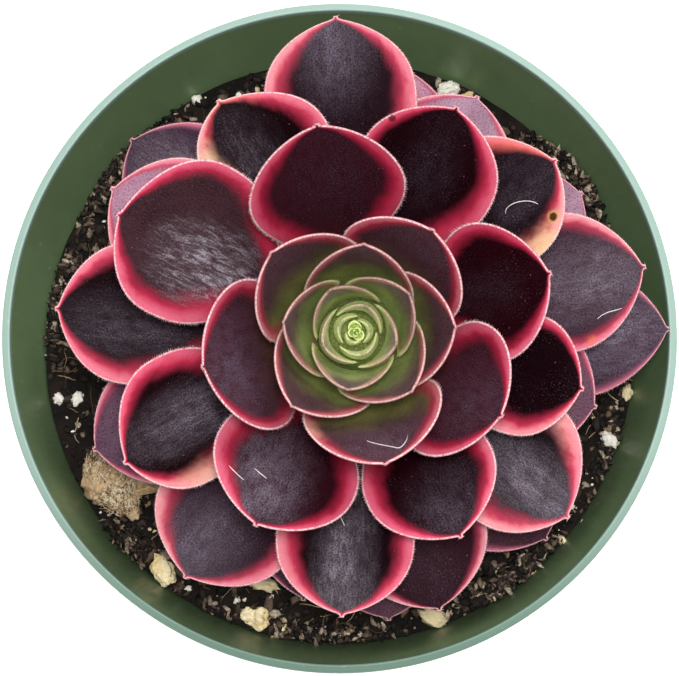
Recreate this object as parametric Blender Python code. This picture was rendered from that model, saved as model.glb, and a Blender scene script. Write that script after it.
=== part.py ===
"""Potted aeonium: one rosette of fleshy leaves on a short stem, in soil, in a green plastic nursery pot.

Metres, +Z up.  The origin is the centre of the pot's underside, and -Y is the front, the side that the
plant leans towards.  Lengths below are in millimetres and MM turns them into metres.
"""

import math

import bmesh
import bpy
import numpy as np
from mathutils import Vector

MM = 0.001
GAP = 0.3                      # clearance that touching pieces keep

# Pot: a 4.5 inch round nursery pot
RIM_RADIUS = 57.0
POT_HEIGHT = 100.0
LIP_WIDTH = 1.5
COLLAR_HEIGHT = 12.0
WALL = 1.3
BASE_RADIUS = 42.5
FOOT_WIDTH = 4.0
PAD_RADIUS = 12.0
FOOT_DEPTH = 2.5
DRAIN_HOLES = 6
DRAIN_RADIUS = 4.2
DRAIN_CIRCLE = 27.0
TURNED_SIDES = 48

# Soil
SOIL_LEVEL = 79.0
SOIL_RADIUS = 52.8             # inside the pot's wall at the soil's level

# Plant: its axis stands in the soil at STEM_FOOT and leans to the front
LEAN = math.radians(7.5)
STEM_FOOT = (2.6, 2.5)
STEM_DEPTH = 20.0
STEM_RADIUS = 7.6
STEM_TAPER = 8.5               # leaves over which the stem's dome opens to its full radius

# Leaves are numbered by age, from the heart outwards
YOUNGEST = -2
OLDEST = 48
FIRST_DIRECTION = 151.0        # degrees, of the leaf of age 0
DIVERGENCE = 137.6             # degrees between one leaf and the next older one
LEAF_SPACING = 0.42            # along the stem
HEART_SPACING = 0.2            # extra spacing for the leaves of the heart
LOWEST_LEAF = 5.0              # height of the oldest leaf's base above the soil
POINT_POWER = 0.82             # at 0.5 a leaf ends in an arc, and at 1 in a sharp corner
MUCRO = 0.8                    # the small point at a leaf's tip

# How a leaf grows with age: each row of values belongs to the ages in AGES
AGES = (-4, -2, -1, 0, 2, 3, 5, 8, 10, 13, 15, 18, 22, 26, 30, 35, 40, 48)
TIP_RADIUS = (0.9, 1.75, 2.3, 3.0, 4.6, 5.5, 7.9, 11.5, 13.7, 18, 21, 31, 38, 42, 46, 48, 48, 49)
TIP_HEIGHT = (33.5, 34, 34.5, 35.2, 37.8, 39.2, 42, 45.5, 47.5, 49.5, 49.5, 46.5, 41.5, 36.5, 31, 25.5, 21.5,
              17)
ARCH = (-30, -34, -36, -38, -34, -32, -27, -20, -15, -10, -5, 2, 8, 14, 22, 28, 30, 30)
WIDTH = (3, 5, 7.5, 10, 15, 17.5, 21, 25, 27, 30, 30.5, 27, 24.5, 24, 24, 24, 23.5, 23)
THICKNESS = (0.6, 0.65, 0.7, 0.75, 0.8, 0.85, 0.9, 0.95, 1.0, 1.2, 1.55, 2.1, 2.2, 2.2, 2.2, 2.1, 2, 1.8)
BASE_THICKNESS = (0.5, 0.6, 0.65, 0.7, 0.8, 0.85, 0.9, 1, 1.1, 1.3, 1.4, 1.5, 1.6, 1.6, 1.6, 1.7, 1.7, 1.7)
CUP = (0, 0, 0, 0, 0, 0, 0, 0, 0, 0.2, 0.5, 1, 1.2, 1.2, 1, 0.6, 0.3, 0)
FLARE = (0.2, 0.3, 0.35, 0.4, 0.5, 0.55, 0.6, 0.7, 0.7, 0.6, 0.5, 0, 0, 0, 0, 0, 0, 0)
FOLD = (0.5, 0.6, 0.8, 0.9, 1, 1, 1, 0.9, 0.8, 0.5, 0.1, -0.4, 0, 0, 0, 0, 0, 0)

# Where single leaves differ from the rule: degrees of turn, millimetres of reach, share of width, fullness of
# the outline near the tip, how much wider the counterclockwise side is, and lift of the tip
SWAY = {
    -2: 7, 1: 2, 2: 2, 3: -2, 4: 3, 5: 2, 6: 5, 7: 2, 9: 4, 10: -2, 11: 4, 12: 1, 13: -3, 14: 5, 15: -2,
    18: -7, 19: -3, 20: -6, 21: -7, 22: -1, 23: -10, 24: -4, 25: -5, 26: -8, 27: 1, 28: -3, 29: -6, 31: -3,
    32: 1, 33: 1, 36: -2, 37: 2, 38: 3, 39: 1, 40: 4, 41: -1, 42: 3, 43: 5, 44: -5, 45: 3, 47: 1, 48: 1,
}
REACH = {
    12: -1, 14: 1, 15: -1.5, 17: -1.5, 18: 2, 19: 1, 20: -2.5, 21: 5, 22: -1.5, 24: 2, 25: -3.5,
    26: 1, 27: 2.5, 28: -1.3, 29: 3.5, 31: 5, 32: 2, 33: 1.5, 34: -1, 36: -4, 37: -0.5, 38: -6, 39: -9,
    40: -2.5, 41: -3.5, 42: -4, 43: -1, 44: -3, 45: -11, 46: 3.5, 47: 1,
}
BREADTH = {
    17: 0.92, 19: 0.98, 20: 0.96, 21: 1.12, 22: 0.95, 24: 0.93, 25: 0.87, 26: 0.94, 27: 0.97, 31: 1.07,
    32: 1.06, 37: 0.93, 40: 0.92, 45: 0.85,
}
ROUNDNESS = {
    18: 1.9, 19: 2.6, 20: 2.1, 21: 3.4, 22: 2.6, 24: 3.2, 25: 3.2, 26: 3.6, 27: 3.2, 29: 3.3, 31: 3.5,
    32: 3.4, 33: 2.4, 46: 2.0,
}
LOPSIDED = {18: 0.03, 21: -0.12, 24: -0.15, 26: -0.25, 28: 0.12, 29: -0.02, 30: 0.12, 33: 0.04}
TIP_LIFT = {46: 4.8}           # this leaf's tip lies on the pot's rim

# Loose pieces on the soil: name, centre, size, turn in degrees, share that is sunk into the soil
STONES = (
    ("peat_clump", (-39.9, -24.0), (13.2, 9.4, 6.4), 118, 0.30),
    ("pumice_1", (-31.0, -39.8), (6.3, 3.6, 3.4), 125, 0.30),
    ("pumice_2", (-14.6, -48.0), (5.2, 3.7, 3.2), 165, 0.30),
    ("perlite_lump", (19.6, 46.4), (3.9, 3.2, 3.0), 20, 0.25),
)

POT_GREEN = (0.075, 0.125, 0.062)
SOIL_BROWN = (0.028, 0.018, 0.013)


def clear_scene():
    for item in list(bpy.data.objects):
        bpy.data.objects.remove(item, do_unlink=True)


def material(name, colour, roughness):
    made = bpy.data.materials.new(name)
    made.use_nodes = True
    shader = made.node_tree.nodes["Principled BSDF"]
    shader.inputs["Base Color"].default_value = (*colour, 1.0)
    shader.inputs["Roughness"].default_value = roughness
    shader.inputs["Metallic"].default_value = 0.0
    return made


def add_object(name, vertices, faces, parent=None):
    """A mesh object from points in millimetres."""
    mesh = bpy.data.meshes.new(name)
    mesh.from_pydata([tuple(float(c) * MM for c in v) for v in vertices], [], faces)
    made = bpy.data.objects.new(name, mesh)
    bpy.context.scene.collection.objects.link(made)
    made.parent = parent
    return made


def finish(made, colour, roughness, sharp_angle=40.0):
    """Faces outwards, smooth shading and the piece's own material."""
    mesh = made.data
    edit = bmesh.new()
    edit.from_mesh(mesh)
    bmesh.ops.recalc_face_normals(edit, faces=edit.faces)
    edit.to_mesh(mesh)
    edit.free()
    mesh.shade_smooth()
    mesh.set_sharp_from_angle(angle=math.radians(sharp_angle))
    mesh.materials.append(material(made.name, colour, roughness))
    return made


def turned(name, profile, sides, parent=None):
    """A body of revolution about Z from (radius, height) points; radius 0 closes an end."""
    vertices = []
    rings = []
    for radius, height in profile:
        if radius == 0:
            rings.append([len(vertices)])
            vertices.append((0.0, 0.0, height))
            continue
        ring = []
        for side in range(sides):
            angle = 2 * math.pi * side / sides
            ring.append(len(vertices))
            vertices.append((radius * math.cos(angle), radius * math.sin(angle), height))
        rings.append(ring)
    faces = []
    pairs = list(zip(rings, rings[1:]))
    if len(rings[0]) > 1:
        pairs.append((rings[-1], rings[0]))
    for lower, upper in pairs:
        for side in range(sides):
            after = (side + 1) % sides
            if len(lower) == 1:
                faces.append((lower[0], upper[after], upper[side]))
            elif len(upper) == 1:
                faces.append((lower[side], lower[after], upper[0]))
            else:
                faces.append((lower[side], lower[after], upper[after], upper[side]))
    return add_object(name, vertices, faces, parent)


def cut(target, cutter):
    """Subtract the cutter, which stays in the file as a hidden guide."""
    cutter.hide_render = True
    cutter.display_type = "WIRE"
    modifier = target.modifiers.new(f"cut_{cutter.name}", "BOOLEAN")
    modifier.operation = "DIFFERENCE"
    modifier.solver = "EXACT"
    modifier.object = cutter


# ---------------------------------------------------------------- leaves

def ease(x):
    x = min(max(x, 0.0), 1.0)
    return x * x * (3 - 2 * x)


def grown(values, age):
    """A value at an age, with the corners of the table rounded off."""
    return float(np.mean([np.interp(age + step, AGES, values) for step in (-0.8, -0.4, 0.0, 0.4, 0.8)]))


def leaf_base(age):
    """Radius and height at which a leaf leaves the stem's dome."""
    radius = STEM_RADIUS * (1 - math.exp(-max(age + 4.0, 0.0) / STEM_TAPER))
    crowding = 2 * HEART_SPACING * float(np.logaddexp(0, (14 - age) / 2))
    return radius, LOWEST_LEAF + LEAF_SPACING * (OLDEST - age) + crowding


class Midrib:
    """The circular arc that a leaf of one age follows, in the plane of radius and height."""

    def __init__(self, age):
        self.radius, self.height = leaf_base(age)
        run = grown(TIP_RADIUS, age) - grown(FLARE, age) - self.radius
        rise = grown(TIP_HEIGHT, age) - self.height
        arch = math.radians(grown(ARCH, age))
        self.length = math.hypot(run, rise) * (arch / 2) / math.sin(arch / 2)
        self.start = math.atan2(rise, run) + arch / 2
        self.bend = arch / self.length

    def point(self, share):
        """Radius, height and slope at a share of the length."""
        slope = self.start - self.bend * share * self.length
        radius = self.radius + (math.sin(self.start) - math.sin(slope)) / self.bend
        height = self.height + (math.cos(slope) - math.cos(self.start)) / self.bend
        return radius, height, slope


def leaf_share(age):
    """How much of its midrib a leaf has, so that its tip lies at its own reach."""
    if age not in REACH:
        return 1.0
    midrib = Midrib(age)
    wanted = grown(TIP_RADIUS, age) - grown(FLARE, age) + REACH[age]
    low, high = 0.3, 1.7
    for _ in range(40):
        middle = (low + high) / 2
        if midrib.point(middle)[0] < wanted:
            low = middle
        else:
            high = middle
    return low


def half_width(age, along):
    """Half of a leaf's width, measured round the leaf, at a share of its length."""
    widest = grown(WIDTH, age) / 2 * BREADTH.get(age, 1.0)
    base = min(2.4, 0.8 + 0.35 * grown(WIDTH, age) / 2)
    shoulder = float(np.interp(age, (0, 8, 11, 15, 20), (0.49, 0.51, 0.56, 0.70, 0.72)))
    roundness = ROUNDNESS.get(age, float(np.interp(age, (9, 13, 18), (1.75, 2.1, 2.8))))
    if along < shoulder:
        return base + (widest - base) * ease(along / shoulder) ** float(np.interp(age, (11, 15), (1, 1.6)))
    past = min((along - shoulder) / (1 - shoulder), 1.0)
    return widest * (1 - past ** roundness) ** POINT_POWER


def leaf_point(age, along, across):
    """Top and bottom points at a place on the leaf; along runs 0 to 1 and across -1 to 1."""
    share = leaf_share(age)
    length = Midrib(age).length * share
    point_size = MUCRO * float(np.interp(age, (0, 6, 14), (0.5, 0.8, 1.0)))
    whole = length + 0.6 * point_size
    blade = min(along * whole / length, 1.0)
    half = half_width(age, blade)
    half *= 1 + LOPSIDED.get(age, 0.0) * across
    left = (1 - along) * whole
    if left < 2.2 * point_size:
        half = max(half, 0.22 + 0.9 * (left / (2.2 * point_size)) ** 1.6)

    spread = half / max(Midrib(age).point(along * whole / length * share)[0], 1.0)
    limit = math.radians(float(np.interp(age, (-2, 0, 5, 8, 10, 13, 15, 18), (80, 92, 92, 88, 80, 68, 64, 90))))
    turn = across * limit * math.tanh(spread / limit)

    narrow = min(half / (grown(WIDTH, age) / 2), 1.0)
    folded = age - grown(FOLD, age) * ease(blade / 0.5) * narrow * abs(across) ** 1.2
    radius, height, slope = Midrib(folded).point(along * whole / length * share)
    radius += grown(FLARE, age) * max((blade - 0.75) / 0.25, 0.0) ** 2
    height += TIP_LIFT.get(age, 0.0) * max((blade - 0.55) / 0.45, 0.0) ** 1.6

    middle = grown(THICKNESS, age)
    thick = float(np.interp(blade, (0, 0.35, 0.7, 0.92, 1), (grown(BASE_THICKNESS, age), middle, middle,
                                                          0.75 * middle, 0.45)))
    margin = float(np.interp(age, (0, 8, 18), (0.3, 0.4, 0.5)))
    edge = min(thick, float(np.interp(blade, (0, 0.3, 1), (0.7 * grown(BASE_THICKNESS, age), margin, 0.35))))
    local = edge + (thick - edge) * (1 - across ** 2)
    raised = grown(CUP, age) * math.sin(math.pi * blade) * across ** 2
    points = []
    for offset in (raised + 0.4 * local, raised - 0.6 * local):
        out = radius - math.sin(slope) * offset
        up = height + math.cos(slope) * offset
        points.append((out * math.cos(turn), out * math.sin(turn), up))
    return points


def leaf_colour(age):
    """From the yellow-green heart through mauve to maroon, greyer on the oldest leaves."""
    ages = (-2, 4, 10, 16, 26, 36, 48)
    red = (0.35, 0.24, 0.16, 0.13, 0.12, 0.10, 0.14)
    green = (0.48, 0.30, 0.11, 0.030, 0.018, 0.022, 0.055)
    blue = (0.13, 0.10, 0.07, 0.040, 0.030, 0.032, 0.070)
    return tuple(float(np.interp(age, ages, channel)) for channel in (red, green, blue))


def build_leaf(age, plant):
    """One leaf as a closed body, modelled pointing along +X of the plant and turned to its direction."""
    stations = (0, 0.15, 0.32, 0.48, 0.62, 0.75, 0.865, 0.95, 1.0)
    lanes = (-1, -0.7, -0.35, 0, 0.35, 0.7, 1) if age < 18 else (-1, -0.55, 0, 0.55, 1)
    rows, columns = len(stations), len(lanes)
    tops = []
    bottoms = []
    for along in stations:
        for across in lanes:
            top, bottom = leaf_point(age, along, across)
            tops.append(top)
            bottoms.append(bottom)
    under = rows * columns
    faces = []
    for row in range(rows - 1):
        for column in range(columns - 1):
            a = row * columns + column
            b, c, d = a + columns, a + columns + 1, a + 1
            faces.append((a, b, c, d))
            faces.append((under + a, under + d, under + c, under + b))
        for column in (0, columns - 1):
            a = row * columns + column
            faces.append((a, a + columns, under + a + columns, under + a))
    for row in (0, rows - 1):
        for column in range(columns - 1):
            a = row * columns + column
            faces.append((a, a + 1, under + a + 1, under + a))
    leaf = add_object(f"leaf_{age - YOUNGEST + 1:02d}", tops + bottoms, faces, plant)
    direction = FIRST_DIRECTION + DIVERGENCE * age + SWAY.get(age, 0)
    leaf.rotation_euler = (0, 0, math.radians(direction % 360))
    return finish(leaf, leaf_colour(age), 0.45, 60)


def build_heart_bud(plant):
    """The closed bud inside the youngest leaves."""
    foot = leaf_base(-3.3)[1] + 2 * GAP
    top = grown(TIP_HEIGHT, -4) - 0.3
    profile = [(0, foot)]
    for share in (0.04, 0.16, 0.36, 0.6, 0.8, 0.93):
        profile.append((0.72 * math.sin(math.pi * share ** 0.85) ** 0.6, foot + (top - foot) * share))
    profile.append((0, top))
    return finish(turned("heart_bud", profile, 12, plant), leaf_colour(-2), 0.45)


# ---------------------------------------------------------------- stem, soil and pot

def stem_profile(clearance):
    """The stem with its leaf-bearing dome; clearance widens it for the soil's socket."""
    profile = [(0, -STEM_DEPTH - clearance)]
    for radius, height in ((4.6, -STEM_DEPTH), (6.3, -STEM_DEPTH + 2.5), (7.4, -4.0), (7.2, 1.0)):
        profile.append((radius + clearance, height - (clearance if height < -18 else 0)))
    for age in (48, 38, 28, 20, 14, 10, 7, 4, 2, 0, -1.5, -2.6):
        radius, height = leaf_base(age)
        slope = Midrib(age).start
        inner = 0.4 * grown(BASE_THICKNESS, age)
        out = radius - math.sin(slope) * inner - GAP - 0.05
        profile.append((out + clearance, height + math.cos(slope) * inner))
    profile.append((0, leaf_base(-3.3)[1] + clearance))
    return profile


def build_stem(plant):
    return finish(turned("stem", stem_profile(0), 24, plant), (0.16, 0.12, 0.07), 0.7)


def soil_height(x, y):
    """The soil's surface: low lumps, slightly heaped round the stem."""
    lumps = 0.55 * math.sin(0.19 * x + 0.8) * math.cos(0.23 * y - 0.4)
    lumps += 0.35 * math.sin(0.41 * x - 0.33 * y + 1.7)
    heap = 1.2 * math.exp(-((x - STEM_FOOT[0]) ** 2 + (y - STEM_FOOT[1]) ** 2) / 300)
    return SOIL_LEVEL + lumps + heap


def pot_inside(height):
    """The inner radius of the pot at a height."""
    floor = FOOT_DEPTH + WALL
    return float(np.interp(height, (floor, SOIL_LEVEL, POT_HEIGHT - 1.0),
                           (BASE_RADIUS - WALL, SOIL_RADIUS, RIM_RADIUS - LIP_WIDTH)))


def build_soil(plant, cutters):
    """The soil fills the pot from its floor to the lumpy surface, with a socket for each sunk piece."""
    floor = FOOT_DEPTH + WALL + GAP
    pad_floor = WALL + GAP
    pad = PAD_RADIUS - WALL - GAP
    below = [(0, pad_floor), (pad, pad_floor), (pad, floor), (pot_inside(floor) - GAP, floor)]
    side = [(pot_inside(height) - GAP, height) for height in (0.5 * SOIL_LEVEL, SOIL_LEVEL - 1.8)]
    surface = [(share * (SOIL_RADIUS - GAP - 0.25), SOIL_LEVEL) for share in (1, 0.9, 0.77, 0.62, 0.45, 0.25)]
    soil = turned("soil", below + side + surface + [(0, SOIL_LEVEL)], TURNED_SIDES)
    for vertex in soil.data.vertices:
        if vertex.co.z > (SOIL_LEVEL - 0.5) * MM:
            vertex.co.z = soil_height(vertex.co.x / MM, vertex.co.y / MM) * MM
    finish(soil, SOIL_BROWN, 0.95)
    socket = turned("socket_stem", stem_profile(GAP + 0.1), 24, plant)
    for cutter in [socket] + cutters:
        cut(soil, cutter)
    return soil


def pot_profile():
    """Outline of the pot's wall, from its floor inside, over the lip and down to the foot."""
    lip_inner = RIM_RADIUS - LIP_WIDTH
    lip_round = LIP_WIDTH / 2
    lip_middle = RIM_RADIUS - lip_round
    floor = FOOT_DEPTH + WALL
    inside = [(0, WALL), (PAD_RADIUS - WALL, WALL), (PAD_RADIUS - WALL, floor)]
    inside += [(pot_inside(floor), floor), (SOIL_RADIUS, SOIL_LEVEL), (lip_inner, POT_HEIGHT - lip_round)]
    lip = []
    for step in range(1, 6):
        angle = math.pi * (1 - step / 6)
        lip.append((lip_middle + lip_round * math.cos(angle), POT_HEIGHT + lip_round * (math.sin(angle) - 1)))
    collar_low = POT_HEIGHT - COLLAR_HEIGHT
    neck = pot_inside(collar_low) + WALL
    outside = [(RIM_RADIUS, POT_HEIGHT - lip_round), (RIM_RADIUS - 0.6, collar_low + 0.5)]
    outside += [(RIM_RADIUS - 1.1, collar_low), (neck, collar_low), (BASE_RADIUS + 0.5, 1.2)]
    foot_inner = BASE_RADIUS - FOOT_WIDTH
    under = [(BASE_RADIUS - 0.4, 0), (foot_inner, 0), (foot_inner - 0.4, FOOT_DEPTH)]
    under += [(PAD_RADIUS + 0.4, FOOT_DEPTH), (PAD_RADIUS, 0), (0, 0)]
    return inside + lip + outside + under


def build_pot():
    """A thin-walled pot with a stepped collar, a foot ring, a centre pad and drain holes."""
    pot = finish(turned("pot", pot_profile(), TURNED_SIDES), POT_GREEN, 0.38, 35)
    for hole in range(DRAIN_HOLES):
        angle = 2 * math.pi * ((hole + 0.5) / DRAIN_HOLES + 0.5 / TURNED_SIDES)
        ends = (FOOT_DEPTH - 2.0, FOOT_DEPTH + WALL + 2.0)
        rod = turned(f"drain_{hole + 1}", [(0, ends[0]), (DRAIN_RADIUS, ends[0]), (DRAIN_RADIUS, ends[1]),
                                           (0, ends[1])], 20)
        rod.location = (DRAIN_CIRCLE * math.cos(angle) * MM, DRAIN_CIRCLE * math.sin(angle) * MM, 0)
        finish(rod, POT_GREEN, 0.38)
        cut(pot, rod)
    return pot


# ---------------------------------------------------------------- loose pieces on the soil

def stone_mesh(name, size, seed, swell):
    """A rounded lump; swell moves its surface outwards, for the socket that it sits in."""
    edit = bmesh.new()
    bmesh.ops.create_icosphere(edit, subdivisions=2, radius=1.0)
    for vertex in edit.verts:
        way = vertex.co.normalized()
        lump = 1 + 0.10 * math.sin(4.1 * way.x + seed) + 0.09 * math.sin(5.3 * way.y + 2 * seed + way.z)
        shaped = Vector((way.x * size[0] / 2, way.y * size[1] / 2, way.z * size[2] / 2)) * lump
        outwards = Vector((way.x / size[0], way.y / size[1], way.z / size[2])).normalized()
        vertex.co = (shaped + outwards * swell) * MM
    mesh = bpy.data.meshes.new(name)
    edit.to_mesh(mesh)
    edit.free()
    return mesh


def build_stones():
    """The loose pieces, and a swollen copy of each to cut its seat in the soil."""
    looks = {"peat_clump": (0.34, 0.25, 0.14), "perlite_lump": (0.78, 0.76, 0.70)}
    cutters = []
    for seed, (name, centre, size, turn, sunk) in enumerate(STONES, 1):
        height = soil_height(*centre) + size[2] * (0.5 - sunk)
        for label, swell in ((name, 0.0), (f"seat_{name}", GAP + 0.12)):
            piece = bpy.data.objects.new(label, stone_mesh(label, size, seed, swell))
            bpy.context.scene.collection.objects.link(piece)
            piece.location = (centre[0] * MM, centre[1] * MM, height * MM)
            piece.rotation_euler = (0, 0, math.radians(turn))
            finish(piece, looks.get(name, (0.72, 0.60, 0.36)), 0.9)
            if swell:
                cutters.append(piece)
    return cutters


def main():
    clear_scene()
    plant = bpy.data.objects.new("plant_axis", None)
    bpy.context.scene.collection.objects.link(plant)
    plant.location = (STEM_FOOT[0] * MM, STEM_FOOT[1] * MM, SOIL_LEVEL * MM)
    plant.rotation_euler = (LEAN, 0, 0)
    for age in range(YOUNGEST, OLDEST + 1):
        build_leaf(age, plant)
    build_heart_bud(plant)
    build_stem(plant)
    build_soil(plant, build_stones())
    build_pot()


main()
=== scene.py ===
import functools
import math
import random

import bmesh
import bpy
import numpy as np
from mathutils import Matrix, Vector, noise


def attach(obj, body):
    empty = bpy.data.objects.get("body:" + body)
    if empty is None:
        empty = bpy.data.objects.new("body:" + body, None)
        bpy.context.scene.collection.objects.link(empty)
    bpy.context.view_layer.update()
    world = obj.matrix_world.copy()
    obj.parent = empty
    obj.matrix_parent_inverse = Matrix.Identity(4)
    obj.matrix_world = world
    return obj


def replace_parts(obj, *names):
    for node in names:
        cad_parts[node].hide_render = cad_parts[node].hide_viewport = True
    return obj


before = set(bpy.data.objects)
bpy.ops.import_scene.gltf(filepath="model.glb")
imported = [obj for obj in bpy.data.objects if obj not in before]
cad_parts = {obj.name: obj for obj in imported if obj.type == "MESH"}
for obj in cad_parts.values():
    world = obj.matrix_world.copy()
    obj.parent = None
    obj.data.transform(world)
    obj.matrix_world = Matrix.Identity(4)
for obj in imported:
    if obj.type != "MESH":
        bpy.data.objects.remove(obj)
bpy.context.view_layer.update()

# Lengths are in millimetres, and MM turns them into the frame's metres.
MM = 0.001
SEED = 7

# ---------------------------------------------------------------- the plant's rule, the same as the CAD's

SOIL_LEVEL = 79.0
LEAN = math.radians(7.5)
STEM_FOOT = (2.6, 2.5)
STEM_RADIUS = 7.6
STEM_TAPER = 8.5
YOUNGEST = -2
OLDEST = 48
FIRST_DIRECTION = 151.0        # degrees
DIVERGENCE = 137.6             # degrees from each leaf to the next older one
LEAF_SPACING = 0.42
HEART_SPACING = 0.2
LOWEST_LEAF = 5.0
POINT_POWER = 0.82
MUCRO = 0.8

# Growth by age: where the tip is, how the midrib bends in degrees, the blade's width and thickness, and how
# its middle swells, its sides rise, its tip turns out and its sides fold up
AGES = (-4, -2, -1, 0, 2, 3, 5, 8, 10, 13, 15, 18, 22, 26, 30, 35, 40, 48)
TIP_RADIUS = (0.9, 1.75, 2.3, 3.0, 4.6, 5.5, 7.9, 11.5, 13.7, 18, 21, 31, 38, 42, 46, 48, 48, 49)
TIP_HEIGHT = (33.5, 34, 34.5, 35.2, 37.8, 39.2, 42, 45.5, 47.5, 49.5, 49.5, 46.5, 41.5, 36.5, 31, 25.5, 21.5,
              17)
ARCH = (-30, -34, -36, -38, -34, -32, -27, -20, -15, -10, -5, 2, 8, 14, 22, 28, 30, 30)
WIDTH = (3, 5, 7.5, 10, 15, 17.5, 21, 25, 27, 30, 30.5, 27, 24.5, 24, 24, 24, 23.5, 23)
THICKNESS = (0.6, 0.65, 0.7, 0.75, 0.8, 0.85, 0.9, 0.95, 1.0, 1.2, 1.55, 2.1, 2.2, 2.2, 2.2, 2.1, 2, 1.8)
BASE_THICKNESS = (0.5, 0.6, 0.65, 0.7, 0.8, 0.85, 0.9, 1, 1.1, 1.3, 1.4, 1.5, 1.6, 1.6, 1.6, 1.7, 1.7, 1.7)
BELLY = (0.1, 0.15, 0.4, 0.45, 0.8, 0.8, 0.7, 0.35, 0.1, 0, 0, 0, 0, 0, 0, 0, 0, 0)
CUP = (0, 0, 0, 0, 0, 0, 0, 0, 0, 0.2, 0.5, 1, 1.2, 1.2, 1, 0.6, 0.3, 0)
FLARE = (0.2, 0.3, 0.35, 0.4, 0.5, 0.55, 0.6, 0.7, 0.7, 0.6, 0.5, 0, 0, 0, 0, 0, 0, 0)
FOLD = (0.5, 0.6, 0.8, 0.9, 1, 1, 1, 0.9, 0.8, 0.5, 0.1, -0.4, 0, 0, 0, 0, 0, 0)

# What single leaves have of their own: a turn in degrees, a longer or shorter reach, a breadth, a rounder or
# more pointed outline, a fuller side, and a lifted tip
SWAY = {
    -2: 7, 1: 2, 2: 2, 3: -2, 4: 3, 5: 2, 6: 5, 7: 2, 9: 4, 10: -2, 11: 4, 12: 1, 13: -3, 14: 5, 15: -2,
    18: -7, 19: -3, 20: -6, 21: -7, 22: -1, 23: -10, 24: -4, 25: -5, 26: -8, 27: 1, 28: -3, 29: -6, 31: -3,
    32: 1, 33: 1, 36: -2, 37: 2, 38: 3, 39: 1, 40: 4, 41: -1, 42: 3, 43: 5, 44: -5, 45: 3, 47: 1, 48: 1,
}
REACH = {
    12: -1, 14: 1, 15: -1.5, 17: -1.5, 18: 2, 19: 1, 20: -2.5, 21: 5, 22: -1.5, 24: 2, 25: -3.5,
    26: 1, 27: 2.5, 28: -1.3, 29: 3.5, 31: 5, 32: 2, 33: 1.5, 34: -1, 36: -4, 37: -0.5, 38: -6, 39: -9,
    40: -2.5, 41: -3.5, 42: -4, 43: -1, 44: -3, 45: -11, 46: 3.5, 47: 1,
}
BREADTH = {
    17: 0.92, 19: 0.98, 20: 0.96, 21: 1.12, 22: 0.95, 24: 0.93, 25: 0.87, 26: 0.94, 27: 0.97, 31: 1.07,
    32: 1.06, 37: 0.93, 40: 0.92, 45: 0.85,
}
ROUNDNESS = {
    18: 1.9, 19: 2.6, 20: 2.1, 21: 3.4, 22: 2.6, 24: 3.2, 25: 3.2, 26: 3.6, 27: 3.2, 29: 3.3, 31: 3.5,
    32: 3.4, 33: 2.4, 46: 2.0,
}
LOPSIDED = {18: 0.03, 21: -0.12, 24: -0.15, 26: -0.25, 28: 0.12, 29: -0.02, 30: 0.12, 33: 0.04}
TIP_LIFT = {46: 4.8}

# Ages, then values at them, with straight lines between
WIDEST_AT = ((0, 8, 11, 15, 20), (0.49, 0.51, 0.56, 0.70, 0.72))      # share of the leaf's length
FULLNESS = ((9, 13, 18), (1.75, 2.1, 2.8))
BASE_HOLLOW = ((11, 15), (1, 1.6))
POINT_SIZE = ((0, 6, 14), (0.5, 0.8, 1.0))
WRAP_LIMIT = ((-2, 0, 5, 8, 10, 13, 15, 18), (80, 92, 92, 88, 80, 68, 64, 90))   # degrees round the axis
MARGIN_THICKNESS = ((0, 8, 18), (0.3, 0.4, 0.5))

# ---------------------------------------------------------------- small helpers


def ease(x):
    """A smooth step from 0 to 1."""
    x = np.clip(x, 0.0, 1.0)
    return x * x * (3 - 2 * x)


def linear(red, green, blue):
    """A display colour, 0 to 255, as linear light."""
    return tuple(c / 12.92 if c <= 0.04045 else ((c + 0.055) / 1.055) ** 2.4
                 for c in (red / 255, green / 255, blue / 255))


def around(radius, angle):
    """The place at a distance and a direction from the upright axis."""
    return radius * math.cos(angle), radius * math.sin(angle)


def spun(x, y, angle):
    """A place turned about the upright axis."""
    return x * math.cos(angle) - y * math.sin(angle), x * math.sin(angle) + y * math.cos(angle)


def unit(vectors):
    """Vectors along the last axis, made one long."""
    return vectors / np.maximum(np.linalg.norm(vectors, axis=-1, keepdims=True), 1e-6)


def new_object(name, data):
    """An object for a mesh, a light or a camera, in the scene."""
    made = bpy.data.objects.new(name, data)
    bpy.context.scene.collection.objects.link(made)
    return made


def mesh_object(name, vertices, faces, material):
    """A closed, smooth mesh piece from points in millimetres, its faces turned outwards."""
    mesh = bpy.data.meshes.new(name)
    mesh.from_pydata([tuple(p) for p in np.asarray(vertices, float) * MM], [], faces)
    edit = bmesh.new()
    edit.from_mesh(mesh)
    bmesh.ops.recalc_face_normals(edit, faces=edit.faces)
    edit.to_mesh(mesh)
    edit.free()
    mesh.shade_smooth()
    mesh.materials.append(material)
    piece = new_object(name, mesh)
    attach(piece, "root")
    return piece


@functools.cache
def icosphere(subdivisions):
    """Points and faces of a ball of radius 1."""
    edit = bmesh.new()
    bmesh.ops.create_icosphere(edit, subdivisions=subdivisions, radius=1.0)
    points = np.array([tuple(vertex.co) for vertex in edit.verts])
    faces = [tuple(vertex.index for vertex in face.verts) for face in edit.faces]
    edit.free()
    return points, faces


def ring_faces(start, rows, size):
    """Faces that join rings of points, each to the next one."""
    faces = []
    for first in range(start, start + (rows - 1) * size, size):
        for column in range(size):
            a, b = first + column, first + (column + 1) % size
            faces.append((a, a + size, b + size, b))
    return faces


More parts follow.
